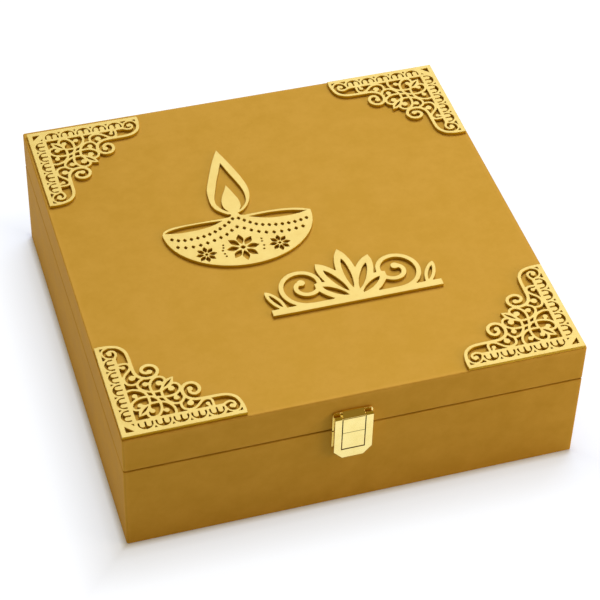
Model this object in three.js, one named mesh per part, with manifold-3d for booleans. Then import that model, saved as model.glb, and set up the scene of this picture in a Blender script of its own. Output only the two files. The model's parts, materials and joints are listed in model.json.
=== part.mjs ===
// Gift box for dried fruit: a wrapped carcass with a hinged lid, raised corner filigree,
// an oil lamp ornament, a scroll ornament and a hasp latch.
// Millimetres, +Z up, front toward -Y, origin under the middle of the base.

import * as THREE from 'three';
import { mergeVertices } from 'three/addons/utils/BufferGeometryUtils.js';
import Module from 'manifold-3d';

const wasm = await Module();
wasm.setup();

// Box
const boxWidth = 254;
const boxDepth = 254;
const baseHeight = 56.8;
const lidHeight = 23;
const seamGap = 0.8;
const cornerRadius = 1.2;
const edgeRadius = 0.6;
const coverThickness = 0.8;
const turnInDepth = 9;
const wallThickness = 5;
const floorThickness = 3;
const topPanelThickness = 4;
const bottomSheetThickness = 0.5;
const liningThickness = 0.5;
const glueLine = 0.1;

// Facets of round pieces, and how far a cutter passes the face that it cuts
const barrelSides = 12;
const fastenerSides = 8;
const discSides = 6;
const curveSegments = 4;
const edgeSegments = 2;
const cornerSegments = 3;
const bellySegments = 20;
const cutMargin = 1;

// Divider cross inside the base
const dividerThickness = 3;
const dividerHeight = 42;
const dividerClearance = 0.15;

// Butt hinges on the back
const hingeOffset = 70;
const leafWidth = 24;
const leafReach = 14;
const leafThickness = 1;
const barrelRadius = 2;
const hingePinRadius = 0.9;
const pinClearance = 0.15;
const outerKnuckle = 7.2;
const knuckleGap = 0.3;
const screwSpacing = 16;
const screwReach = 9.5;
const stopAngle = 108;
const stopHeight = 4;
const stopWidth = 6;
const stopThickness = 1;

// Fasteners
const screwHeadRadius = 1.9;
const screwHeadHeight = 0.9;
const screwRadius = 0.8;
const nailHeadRadius = 1.1;
const nailHeadHeight = 0.6;
const nailRadius = 0.5;
const fastenerBite = 3.5;
const pilotClearance = 0.15;
const headShoulder = 0.75;
const headRise = 0.7;

// Hasp latch on the front, heights from the seam and depths from the face of the box
const latchOffset = -4;
const plateWidth = 22;
const plateThickness = 1;
const plateSeamGap = 0.4;
const plateCornerRadius = 2;
const keeperPlateDepth = 13;
const lidPlateHeight = 13.3;
const bossWidth = 12.1;
const bossProud = 4.1;
const bossWall = 0.7;
const bossRise = 0.4;
const bossSeamGap = 0.15;
const creaseHeight = 10.6;
const creaseDepth = 0.35;
const creaseWidth = 0.6;
const keeperBossDepth = 11.9;
const lidBossHeight = 11.1;
const haspWidth = 21.05;
const haspProud = 4.1;
const haspSheet = 1;
const haspRim = 0.8;
const haspBottom = 18.8;
const haspChamferWidth = 4.65;
const haspChamferHeight = 5.2;
const haspBossGap = 0.6;
const haspBarGap = 0.9;
const haspPlateGap = 0.2;
const latchPinHeight = 10;
const latchPinRadius = 0.55;
const pinSetback = 1.3;
const lugRadius = 1.45;
const lugRise = 0.6;
const lugLength = 3;
const latchNailOffset = 8.3;
const keeperNailDrop = 7;
const lidNailRise = 5;

// Corner filigree, u and v along the two legs from the outer corner
const ornamentThickness = 1.7;
const finestStep = 0.3;
const flatness = 0.01;
const filigreeLeg = 65.9;
const outerBarWidth = 2.5;
const piercedWidth = 9.5;
const piercedEnd = 9.6;
const cornerHole = 4.5;
const innerCornerHole = 1.8;
const innerCornerGap = 1.7;
const scallopFirst = 13.55;
const scallopPitch = 9.42;
const scallopCount = 5;
const spandrelWidth = 1.5;
const spandrelHeight = 1.4;
const ribWidth = 1.2;
const strandWidth = 1.6;
const rimWidth = 1.95;
const waistGap = 28.6;
const slitWidth = 1.1;
const slitLeafWidth = 4.6;
const slitMargin = 2.2;
const bandEnd = 0.4;

// Corner pieces, each glued on by hand: how far it is set in from the side and from the front or back
const filigreeInsets = {
  front_left: { side: 0.7, end: 1.4 },
  front_right: { side: 1.1, end: 0.4 },
  back_right: { side: 1.1, end: 1.7 },
  back_left: { side: 1.9, end: 3.8 },
};

// Oil lamp ornament, measured from the middle of its bowl
const lampX = -26.8;
const lampY = 16.5;
const bowlHalfWidth = 43.2;
const bowlDrop = 35;
const bowlRise = 5.4;
const wickX = 0.6;
const wickHeight = 7.3;
const flameWidth = 24.3;
const flameHeight = 57;
const dotLength = 2.1;
const dotWidth = 2.4;
const dotCounts = [24, 19];
const flowerSizes = [
  { reach: 9.3, rise: 10.8 },
  { reach: 6, rise: 6.3 },
  { reach: 6.1, rise: 6.5 },
];
const petalCount = 8;
const petalStart = 0.24;
const petalSwell = 0.35;
const flowerEye = 0.14;

// Scroll ornament, measured from the middle of its bar
const scrollX = 20.5;
const scrollY = -59.3;
const scrollBarLength = 97;
const scrollBarWidth = 4.6;
const volutePlace = 26;
const voluteRadius = 15;
const voluteTurns = 1.45;
const voluteEye = 3;
const voluteSteps = 16;
const voluteSink = 1;
const scrollStroke = 2.8;
const scrollBudRadius = 2.24;
const endLeafPlace = 40;
const endLeafLength = 19;
const endLeafBreadth = 6;
const petalLengths = [40, 35, 26];
const petalSpread = 26;
const petalBreadth = 11;
const petalSlit = 3.6;
const petalMargin = 0.2;

// Levels and half sizes that follow from the driving sizes
const seamHeight = baseHeight + seamGap / 2;
const halfWidth = boxWidth / 2;
const halfDepth = boxDepth / 2;
const carcassInset = coverThickness + glueLine;
const cavityInset = carcassInset + wallThickness;
const liningInset = cavityInset + glueLine;
const openingInset = liningInset + coverThickness;
const carcassBottom = bottomSheetThickness + glueLine;
const floorTop = carcassBottom + floorThickness;
const liningBottom = floorTop + glueLine;
const lidPanelTop = lidHeight - carcassInset;
const lidPanelBottom = lidPanelTop - topPanelThickness;
const lidLiningTop = lidPanelBottom - glueLine;

// Finishes
const finishes = {
  wrap: { color: 0xb98a33, roughness: 0.5, metalness: 0.4 },
  board: { color: 0xa9855a, roughness: 0.9, metalness: 0 },
  lining: { color: 0xe9ddc2, roughness: 0.95, metalness: 0 },
  paper: { color: 0x6e4a22, roughness: 0.95, metalness: 0 },
  divider: { color: 0xc79a45, roughness: 0.6, metalness: 0.2 },
  ornament: { color: 0xf0d778, roughness: 0.4, metalness: 0.3 },
  brass: { color: 0xe0bb58, roughness: 0.2, metalness: 1 },
};

// One named mesh with its finish
function piece(name, geometry, finish) {
  const mesh = new THREE.Mesh(geometry, new THREE.MeshStandardMaterial(finishes[finish]));
  mesh.name = name;
  return mesh;
}

// Solid for joining and cutting, from a closed geometry
function solidOf(geometry) {
  const bare = geometry.clone();
  bare.deleteAttribute('normal');
  bare.deleteAttribute('uv');
  const merged = mergeVertices(bare, 1e-4);
  return new wasm.Manifold(new wasm.Mesh({
    numProp: 3,
    vertProperties: new Float32Array(merged.attributes.position.array),
    triVerts: new Uint32Array(merged.index.array),
  }));
}

// Geometry of a joined or cut solid
function geometryOf(solid) {
  const mesh = solid.getMesh();
  const geometry = new THREE.BufferGeometry();
  geometry.setAttribute('position', new THREE.BufferAttribute(new Float32Array(mesh.vertProperties), 3));
  geometry.setIndex(new THREE.BufferAttribute(new Uint32Array(mesh.triVerts), 1));
  geometry.computeVertexNormals();
  return geometry;
}

// Block between two corners
function blockGeometry(low, high) {
  const size = high.map((value, axis) => value - low[axis]);
  const middle = high.map((value, axis) => (value + low[axis]) / 2);
  return new THREE.BoxGeometry(...size).translate(...middle);
}

function block(low, high) {
  return solidOf(blockGeometry(low, high));
}

// Block centred on the Z axis, inset from the outside of the box
function insetBlock(inset, bottom, top) {
  const x = halfWidth - inset;
  const y = halfDepth - inset;
  return block([-x, -y, bottom], [x, y, top]);
}

// Outline raised from one height to another
function raised(outline, bottom, top) {
  const settings = { depth: top - bottom, bevelEnabled: false };
  const shape = new THREE.Shape(outline.getPoints(curveSegments));
  return solidOf(new THREE.ExtrudeGeometry(shape, settings).translate(0, 0, bottom));
}

// Flat shape raised from one height to another, with its holes cut through
function prism(shape, bottom, top) {
  const cutters = shape.holes.map((hole) => raised(hole, bottom - cutMargin, top + cutMargin));
  return cutters.reduce((solid, cutter) => solid.subtract(cutter), raised(shape, bottom, top));
}

// Round bar along X
function barAlongX(radius, start, end, y, z, sides = barrelSides) {
  const geometry = new THREE.CylinderGeometry(radius, radius, end - start, sides);
  return solidOf(geometry.rotateZ(Math.PI / 2).translate((start + end) / 2, y, z));
}

// Round bar along Z
function barAlongZ(radius, bottom, top, x, y) {
  const geometry = new THREE.CylinderGeometry(radius, radius, top - bottom, fastenerSides);
  return solidOf(geometry.rotateX(Math.PI / 2).translate(x, y, (bottom + top) / 2));
}

function joined(solids) {
  return solids.reduce((sum, solid) => sum.add(solid));
}

function polygon(points) {
  return new THREE.Shape(points.map(([x, y]) => new THREE.Vector2(x, y)));
}

// Outside of the wrapped box: a rounded square with softened edges at both ends
function wrapOutside(height) {
  const x = halfWidth - edgeRadius;
  const y = halfDepth - edgeRadius;
  const r = cornerRadius - edgeRadius;
  const shape = new THREE.Shape();
  shape.absarc(x - r, y - r, r, 0, Math.PI / 2);
  shape.absarc(r - x, y - r, r, Math.PI / 2, Math.PI);
  shape.absarc(r - x, r - y, r, Math.PI, Math.PI * 1.5);
  shape.absarc(x - r, r - y, r, Math.PI * 1.5, Math.PI * 2);
  const settings = {
    depth: height - 2 * edgeRadius,
    bevelThickness: edgeRadius,
    bevelSize: edgeRadius,
    bevelSegments: edgeSegments,
    curveSegments: cornerSegments,
  };
  return solidOf(new THREE.ExtrudeGeometry(shape, settings).translate(0, 0, edgeRadius));
}

// Pilot holes for the hinge screws and latch nails, as bars through cover and wall
function pilotHoles(rise, screwZ, nailZ) {
  const reach = carcassInset + fastenerBite + cutMargin;
  const holes = [];
  for (const side of [-1, 1]) {
    for (const screw of [-0.5, 0.5]) {
      const x = side * hingeOffset + screw * screwSpacing;
      holes.push(pilotHole(screwRadius, x, halfDepth - reach, halfDepth + cutMargin, screwZ - rise));
    }
    const x = latchOffset + side * latchNailOffset;
    holes.push(pilotHole(nailRadius, x, -halfDepth - cutMargin, reach - halfDepth, nailZ - rise));
  }
  return joined(holes);
}

function pilotHole(radius, x, start, end, z) {
  const wide = radius + pilotClearance;
  const geometry = new THREE.CylinderGeometry(wide, wide, end - start, fastenerSides);
  return solidOf(geometry.translate(x, (start + end) / 2, z));
}

const basePilots = pilotHoles(0, seamHeight - screwReach, seamHeight - keeperNailDrop);
const lidRise = baseHeight + seamGap;
const lidPilots = pilotHoles(lidRise, seamHeight + screwReach, seamHeight + lidNailRise);

// Gold wrap of the base: outside, over the rim and a margin turned in
function baseCover() {
  const walls = insetBlock(coverThickness, -cutMargin, baseHeight - coverThickness);
  const margin = insetBlock(liningInset, baseHeight - turnInDepth, baseHeight);
  const opening = insetBlock(openingInset, -cutMargin, baseHeight + cutMargin);
  return wrapOutside(baseHeight).subtract(walls.subtract(margin)).subtract(opening).subtract(basePilots);
}

// Gold wrap of the lid: top, outside, under the rim and a margin turned in
function lidCover() {
  const walls = insetBlock(coverThickness, coverThickness, lidHeight - coverThickness);
  const margin = insetBlock(liningInset, 0, turnInDepth);
  const opening = insetBlock(openingInset, -cutMargin, lidHeight - coverThickness);
  return wrapOutside(lidHeight).subtract(walls.subtract(margin)).subtract(opening).subtract(lidPilots);
}

// Four walls between two heights, front and back over the ends of the sides
function wallRing(names, bottom, top, pilots) {
  const outerX = halfWidth - carcassInset;
  const outerY = halfDepth - carcassInset;
  const innerX = outerX - wallThickness;
  const innerY = outerY - wallThickness;
  const sideEnd = innerY - glueLine;
  const front = block([-outerX, -outerY, bottom], [outerX, -innerY, top]).subtract(pilots);
  const back = block([-outerX, innerY, bottom], [outerX, outerY, top]).subtract(pilots);
  return [
    piece(names[0], geometryOf(front), 'board'),
    piece(names[1], geometryOf(back), 'board'),
    piece(names[2], blockGeometry([-outerX, -sideEnd, bottom], [-innerX, sideEnd, top]), 'board'),
    piece(names[3], blockGeometry([innerX, -sideEnd, bottom], [outerX, sideEnd, top]), 'board'),
  ];
}

// Thin tray that lines the base, open at the top
function baseLining() {
  const top = baseHeight - turnInDepth - glueLine;
  const outside = insetBlock(liningInset, liningBottom, top);
  const inset = liningInset + liningThickness;
  return outside.subtract(insetBlock(inset, liningBottom + liningThickness, top + cutMargin));
}

// Thin tray that lines the lid, open at the bottom
function lidLining() {
  const bottom = turnInDepth + glueLine;
  const outside = insetBlock(liningInset, bottom, lidLiningTop);
  const inset = liningInset + liningThickness;
  return outside.subtract(insetBlock(inset, bottom - cutMargin, lidLiningTop - liningThickness));
}

// Two slats halved into each other make four compartments
function dividers() {
  const inset = liningInset + liningThickness + dividerClearance;
  const x = halfWidth - inset;
  const y = halfDepth - inset;
  const half = dividerThickness / 2;
  const slot = half + dividerClearance;
  const bottom = liningBottom + liningThickness + glueLine;
  const top = bottom + dividerHeight;
  const middle = bottom + dividerHeight / 2;
  const long = block([-x, -half, bottom], [x, half, top]);
  const cross = block([-half, -y, bottom], [half, y, top]);
  const longSlot = block([-slot, -y, middle - dividerClearance / 2], [slot, y, top + cutMargin]);
  const crossSlot = block([-x, -slot, bottom - cutMargin], [x, slot, middle + dividerClearance / 2]);
  return [
    piece('divider_long', geometryOf(long.subtract(longSlot)), 'divider'),
    piece('divider_cross', geometryOf(cross.subtract(crossSlot)), 'divider'),
  ];
}

function baseCarcass() {
  const base = new THREE.Group();
  const names = ['base_front_wall', 'base_back_wall', 'base_left_wall', 'base_right_wall'];
  const wallTop = baseHeight - carcassInset;
  const floorX = halfWidth - liningInset;
  const floorY = halfDepth - liningInset;
  const sheetX = halfWidth - carcassInset;
  const sheetY = halfDepth - carcassInset;
  base.add(...wallRing(names, carcassBottom, wallTop, basePilots));
  base.add(piece('base_floor',
    blockGeometry([-floorX, -floorY, carcassBottom], [floorX, floorY, floorTop]), 'board'));
  base.add(piece('base_bottom_sheet',
    blockGeometry([-sheetX, -sheetY, 0], [sheetX, sheetY, bottomSheetThickness]), 'paper'));
  base.add(piece('base_cover', geometryOf(baseCover()), 'wrap'));
  base.add(piece('base_lining', geometryOf(baseLining()), 'lining'));
  base.add(...dividers());
  return base;
}

function lidCarcass() {
  const names = ['lid_front_rim', 'lid_back_rim', 'lid_left_rim', 'lid_right_rim'];
  const panelX = halfWidth - carcassInset;
  const panelY = halfDepth - carcassInset;
  return [
    ...wallRing(names, carcassInset, lidLiningTop, lidPilots),
    piece('lid_top_panel',
      blockGeometry([-panelX, -panelY, lidPanelBottom], [panelX, panelY, lidPanelTop]), 'board'),
    piece('lid_cover', geometryOf(lidCover()), 'wrap'),
    piece('lid_lining', geometryOf(lidLining()), 'lining'),
  ];
}

// Domed screw or nail along Z, head above the origin and point below
function fastener(name, headRadius, headHeight, radius, length) {
  const profile = [
    [0, -length],
    [radius, radius * 2 - length],
    [radius, 0],
    [headRadius, 0],
    [headRadius * headShoulder, headHeight * headRise],
    [0, headHeight],
  ].map(([x, y]) => new THREE.Vector2(x, y));
  const geometry = new THREE.LatheGeometry(profile, fastenerSides).rotateX(Math.PI / 2);
  return piece(name, geometry, 'brass');
}

// Leaf with its knuckles, in the plane of X and Y with Z out of the wall
function hingeLeaf(knuckles) {
  const half = leafWidth / 2;
  const axis = glueLine + barrelRadius;
  const leafEdge = barrelRadius + knuckleGap;
  const leafTop = glueLine + leafThickness;
  const stopTip = axis + stopHeight / Math.tan(THREE.MathUtils.degToRad(stopAngle / 2));
  const leaf = block([-half, -leafReach, glueLine], [half, -leafEdge, leafTop]);
  const stop = block([-stopWidth / 2, -stopHeight - stopThickness, glueLine],
    [stopWidth / 2, -stopHeight, stopTip]);
  const rolls = knuckles.map(([start, end]) => barAlongX(barrelRadius, start, end, 0, axis)
    .add(block([start, -leafEdge - knuckleGap, glueLine], [end, 0, leafTop])));
  const bore = barAlongX(hingePinRadius + pinClearance, -half - cutMargin, half + cutMargin, 0, axis);
  const holes = [-0.5, 0.5].map((side) => barAlongZ(screwRadius + pilotClearance,
    -cutMargin, leafTop + cutMargin, side * screwSpacing, -screwReach));
  return joined([leaf, stop, ...rolls]).subtract(bore).subtract(joined(holes));
}

// Butt hinge: base leaf below its axis, lid leaf above it, pin and four screws
function hinge(side) {
  const half = leafWidth / 2;
  const inner = half - outerKnuckle;
  const group = new THREE.Group();
  const baseLeaf = piece(`hinge_${side}_base_leaf`,
    geometryOf(hingeLeaf([[-half, -inner], [inner, half]])), 'brass');
  const lidLeaf = piece(`hinge_${side}_lid_leaf`,
    geometryOf(hingeLeaf([[knuckleGap - inner, inner - knuckleGap]])), 'brass');
  lidLeaf.geometry.rotateZ(Math.PI);
  const pin = piece(`hinge_${side}_pin`,
    geometryOf(barAlongX(hingePinRadius, -half, half, 0, glueLine + barrelRadius)), 'brass');
  group.add(baseLeaf, lidLeaf, pin);
  const seat = 2 * glueLine + leafThickness;
  const length = seat + carcassInset + fastenerBite;
  for (const [leaf, way] of [['base', -1], ['lid', 1]]) {
    for (const [end, place] of [['a', -0.5], ['b', 0.5]]) {
      const screw = fastener(`hinge_${side}_${leaf}_screw_${end}`,
        screwHeadRadius, screwHeadHeight, screwRadius, length);
      screw.position.set(place * screwSpacing, way * screwReach, seat);
      group.add(screw);
    }
  }
  group.position.set(side === 'left' ? -hingeOffset : hingeOffset, halfDepth, seamHeight);
  group.rotation.set(Math.PI / 2, 0, Math.PI, 'ZXY');
  return group;
}

// Back plate of the latch with two rounded outer corners and nail holes
function latchPlate(reach, nailRise) {
  const half = plateWidth / 2;
  const r = plateCornerRadius;
  const shape = new THREE.Shape();
  shape.moveTo(-half, plateSeamGap);
  shape.lineTo(half, plateSeamGap);
  shape.absarc(half - r, reach - r, r, 0, Math.PI / 2);
  shape.absarc(r - half, reach - r, r, Math.PI / 2, Math.PI);
  const holes = [-1, 1].map((side) => barAlongZ(nailRadius + pilotClearance,
    -cutMargin, glueLine + plateThickness + cutMargin, side * latchNailOffset, nailRise));
  return prism(shape, glueLine, glueLine + plateThickness).subtract(joined(holes));
}

// Bar across the latch, from its side profile in height and depth
function latchBoss(profile, halfSpan) {
  const settings = { depth: 2 * halfSpan, bevelEnabled: false };
  const geometry = new THREE.ExtrudeGeometry(polygon(profile), settings).translate(0, 0, -halfSpan);
  const across = new THREE.Vector3(1, 0, 0);
  const height = new THREE.Vector3(0, 1, 0);
  const proud = new THREE.Vector3(0, 0, 1);
  return solidOf(geometry.applyMatrix4(new THREE.Matrix4().makeBasis(height, proud, across)));
}

function lidPlate() {
  const crest = lidPlateHeight + bossRise;
  const outside = latchBoss([
    [bossSeamGap, glueLine],
    [crest, glueLine],
    [crest, glueLine + plateThickness],
    [lidBossHeight, bossProud],
    [creaseHeight + creaseWidth / 2, bossProud],
    [creaseHeight, bossProud - creaseDepth],
    [creaseHeight - creaseWidth / 2, bossProud],
    [bossSeamGap, bossProud],
  ], bossWidth / 2);
  const inside = latchBoss([
    [bossSeamGap - cutMargin, glueLine - cutMargin],
    [crest - 2 * bossWall, glueLine - cutMargin],
    [crest - 2 * bossWall, glueLine],
    [lidBossHeight - bossWall, bossProud - bossWall],
    [bossSeamGap - cutMargin, bossProud - bossWall],
  ], bossWidth / 2 - bossWall);
  const bore = barAlongX(latchPinRadius + pinClearance, -plateWidth, plateWidth,
    latchPinHeight, haspProud - pinSetback, fastenerSides);
  return latchPlate(lidPlateHeight, lidNailRise).add(outside).subtract(inside).subtract(bore);
}

function keeperPlate() {
  const outside = latchBoss([
    [bossSeamGap, glueLine],
    [keeperBossDepth, glueLine],
    [keeperBossDepth, bossProud],
    [bossSeamGap, bossProud],
  ], bossWidth / 2);
  const inside = latchBoss([
    [bossSeamGap - cutMargin, glueLine - cutMargin],
    [keeperBossDepth - bossWall, glueLine - cutMargin],
    [keeperBossDepth - bossWall, bossProud - bossWall],
    [bossSeamGap - cutMargin, bossProud - bossWall],
  ], bossWidth / 2 - bossWall);
  return latchPlate(keeperPlateDepth, keeperNailDrop).add(outside).subtract(inside);
}

// Outline of the hasp, drawn in from its edge by an inset
function haspOutline(inset, top) {
  const x = haspWidth / 2 - inset;
  const bottom = inset - haspBottom;
  const slope = Math.hypot(haspChamferWidth, haspChamferHeight);
  const slant = inset * (slope - haspChamferHeight) / haspChamferWidth;
  const chamferTop = haspChamferHeight - haspBottom + slant;
  const chamferFoot = x - haspChamferWidth + slant * haspChamferWidth / haspChamferHeight;
  return polygon([
    [-x, top],
    [-x, chamferTop],
    [-chamferFoot, bottom],
    [chamferFoot, bottom],
    [x, chamferTop],
    [x, top],
  ]);
}

// Hasp: pressed frame whose arms hang on the latch pin and whose bar hooks under the keeper
function hasp() {
  const back = glueLine + plateThickness + haspPlateGap;
  const pinProud = haspProud - pinSetback;
  const window = bossWidth / 2 + haspBossGap;
  const half = haspWidth / 2;
  const lugFoot = latchPinHeight - lugLength;
  const lugSlant = lugRadius * Math.SQRT1_2;
  const shell = prism(haspOutline(0, latchPinHeight), back, haspProud);
  const pocket = prism(haspOutline(haspRim, latchPinHeight + cutMargin),
    back - cutMargin, haspProud - haspSheet);
  const lug = latchBoss([
    [lugFoot, pinProud - lugRadius],
    [lugFoot, haspProud],
    [latchPinHeight + lugRise, haspProud],
    [latchPinHeight + lugRadius, pinProud],
    [latchPinHeight + lugSlant, pinProud - lugSlant],
    [latchPinHeight, pinProud - lugRadius],
  ], half);
  const opening = block([-window, -keeperBossDepth - haspBarGap, back - cutMargin],
    [window, latchPinHeight + lugLength, haspProud + cutMargin]);
  const bore = barAlongX(latchPinRadius + pinClearance, -half - cutMargin, half + cutMargin,
    latchPinHeight, pinProud, fastenerSides);
  return shell.subtract(pocket).add(lug).subtract(opening).subtract(bore);
}

function latch() {
  const group = new THREE.Group();
  const keeper = piece('latch_keeper_plate', geometryOf(keeperPlate()).rotateZ(Math.PI), 'brass');
  const lid = piece('latch_lid_plate', geometryOf(lidPlate()), 'brass');
  const pin = piece('latch_pin', geometryOf(barAlongX(latchPinRadius, -haspWidth / 2, haspWidth / 2,
    latchPinHeight, haspProud - pinSetback, fastenerSides)), 'brass');
  group.add(keeper, lid, pin, piece('latch_hasp', geometryOf(hasp()), 'brass'));
  const seat = 2 * glueLine + plateThickness;
  const length = seat + carcassInset + fastenerBite;
  for (const [plate, rise] of [['keeper', -keeperNailDrop], ['lid', lidNailRise]]) {
    for (const [side, way] of [['left', -1], ['right', 1]]) {
      const nail = fastener(`latch_${plate}_nail_${side}`,
        nailHeadRadius, nailHeadHeight, nailRadius, length);
      nail.position.set(way * latchNailOffset, rise, seat);
      group.add(nail);
    }
  }
  group.position.set(latchOffset, -halfDepth, seamHeight);
  group.rotation.x = Math.PI / 2;
  return group;
}

// Flat band along a curve, with blunt round ends
function band(curve, width, steps) {
  const left = [];
  const right = [];
  for (let step = 0; step <= steps; step += 1) {
    const point = curve.getPoint(step / steps);
    const tangent = curve.getTangent(step / steps);
    const side = new THREE.Vector2(-tangent.y, tangent.x).multiplyScalar(width / 2);
    if (step === 0) {
      left.push(point.clone().addScaledVector(tangent, -width * bandEnd));
    }
    left.push(point.clone().add(side));
    right.unshift(point.clone().sub(side));
    if (step === steps) {
      left.push(point.clone().addScaledVector(tangent, width * bandEnd));
    }
  }
  return new THREE.Shape([...left, ...right]);
}

function spline(points) {
  return new THREE.SplineCurve(points.map(([x, y]) => new THREE.Vector2(x, y)));
}

function disc(x, y, radius) {
  return new THREE.Shape(new THREE.EllipseCurve(x, y, radius, radius).getPoints(discSides).slice(0, -1));
}

function rectangle(x0, y0, x1, y1) {
  return polygon([[x0, y0], [x1, y0], [x1, y1], [x0, y1]]);
}

// Leaf from its base to its tip, with shares of its length and breadth along the belly
const pointedBelly = [[0.3, 1], [0.65, 1]];
const roundBelly = [[0.15, 0.6], [0.4, 1], [0.68, 0.92], [0.88, 0.55]];

function leafOutline(from, to, breadth, belly) {
  const base = new THREE.Vector2(...from);
  const tip = new THREE.Vector2(...to);
  const along = tip.clone().sub(base);
  const across = new THREE.Vector2(along.y, -along.x).normalize().multiplyScalar(breadth / 2);
  const edge = (side) => belly.map(([share, swell]) => base.clone()
    .addScaledVector(along, share)
    .addScaledVector(across, side * swell));
  return [base, ...edge(1), tip, ...edge(-1).reverse()];
}

// Leaf with a slit along its middle
function slitLeaf(from, to, breadth, slitBreadth, margin, belly) {
  const along = new THREE.Vector2(to[0] - from[0], to[1] - from[1]).normalize().multiplyScalar(margin);
  const shape = new THREE.Shape(leafOutline(from, to, breadth, belly));
  const slitFrom = [from[0] + along.x, from[1] + along.y];
  const slitTo = [to[0] - along.x, to[1] - along.y];
  shape.holes.push(new THREE.Path(leafOutline(slitFrom, slitTo, slitBreadth, belly)));
  return shape;
}

// Round bud on a short neck that grows from a strand
function bud(from, to, radius) {
  const root = new THREE.Vector2(...from);
  const centre = new THREE.Vector2(...to);
  const along = centre.clone().sub(root).normalize();
  const across = new THREE.Vector2(along.y, -along.x);
  const round = [-130, -65, 0, 65, 130].map((degrees) => {
    const angle = THREE.MathUtils.degToRad(degrees);
    return centre.clone()
      .addScaledVector(along, radius * Math.cos(angle))
      .addScaledVector(across, -radius * Math.sin(angle));
  });
  const neck = [-1, 1].map((side) => root.clone().addScaledVector(across, side * strandWidth / 2));
  return new THREE.Shape([...neck, ...round]);
}

// Rim loops of a flat solid's upper face, without points closer than the finest step
function rimLoops(solid) {
  const mesh = solid.getMesh();
  const next = new Map();
  const isTop = (index) => mesh.vertProperties[index * 3 + 2] > ornamentThickness / 2;
  for (let start = 0; start < mesh.triVerts.length; start += 3) {
    const corners = Array.from(mesh.triVerts.slice(start, start + 3));
    const turn = corners.findIndex((corner, at) => isTop(corner) && isTop(corners[(at + 1) % 3]));
    if (turn >= 0 && !corners.every(isTop)) {
      next.set(corners[(turn + 1) % 3], corners[turn]);
    }
  }
  const loops = [];
  while (next.size > 0) {
    const loop = [];
    let [index] = next.keys();
    while (next.has(index)) {
      loop.push(new THREE.Vector2(mesh.vertProperties[index * 3], mesh.vertProperties[index * 3 + 1]));
      const following = next.get(index);
      next.delete(index);
      index = following;
    }
    loops.push(withoutIdlePoints(loop));
  }
  return loops.filter((loop) => Math.abs(THREE.ShapeUtils.area(loop)) > finestStep);
}

// Loop without points that crowd the next one or lie on a straight run
function withoutIdlePoints(loop) {
  const spaced = loop.filter((point, at) => point.distanceTo(loop[(at + 1) % loop.length]) > finestStep);
  return spaced.filter((point, at) => {
    const before = spaced[(at + spaced.length - 1) % spaced.length];
    const after = spaced[(at + 1) % spaced.length];
    return Math.abs(THREE.ShapeUtils.area([before, point, after])) > flatness;
  });
}

// Overlapping flat shapes joined into one plate, cut afresh from its outline for a clean face
function plate(shapes) {
  const loops = rimLoops(joined(shapes.map((shape) => prism(shape, 0, ornamentThickness))));
  const outside = loops.find((loop) => THREE.ShapeUtils.area(loop) > 0);
  const shape = new THREE.Shape(outside);
  shape.holes = loops.filter((loop) => loop !== outside).map((loop) => new THREE.Path(loop));
  return geometryOf(prism(shape, 0, ornamentThickness));
}

// Half of the opening in a scallop, from its middle, as offsets along the bar and up from it
const scallopSide = [
  [0.4, 5.1], [0.4, 2.5], [1.1, 1.5], [2.4, 1.5], [3.2, 2.7], [3.2, 4.9],
  [4.05, 4.9], [3.8, 2.8], [2.4, 0.7], [0, 0.05],
];

// Pierced band along a leg: a braced corner, then scallops with a two-lobed tongue in each
function piercedBand() {
  const shape = rectangle(0, 0, filigreeLeg - piercedEnd, piercedWidth);
  const low = outerBarWidth;
  const high = piercedWidth - innerCornerGap;
  const cuts = [
    [[low, low], [low + cornerHole, low], [low, low + cornerHole]],
    [[high, high], [high, high - innerCornerHole], [high - innerCornerHole, high]],
  ];
  const side = scallopSide.map(([u, v]) => [u, low + v]);
  const scallop = [...side, ...side.slice(0, -1).reverse().map(([u, v]) => [-u, v])];
  const spandrel = [[-spandrelWidth / 2, low], [spandrelWidth / 2, low], [0, low + spandrelHeight]];
  for (let index = 0; index < scallopCount; index += 1) {
    const middle = scallopFirst + index * scallopPitch;
    cuts.push(scallop.map(([u, v]) => [middle + u, v]));
    cuts.push(spandrel.map(([u, v]) => [middle + scallopPitch / 2 + u, v]));
  }
  shape.holes = cuts.map(polygon);
  return shape;
}

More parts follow.
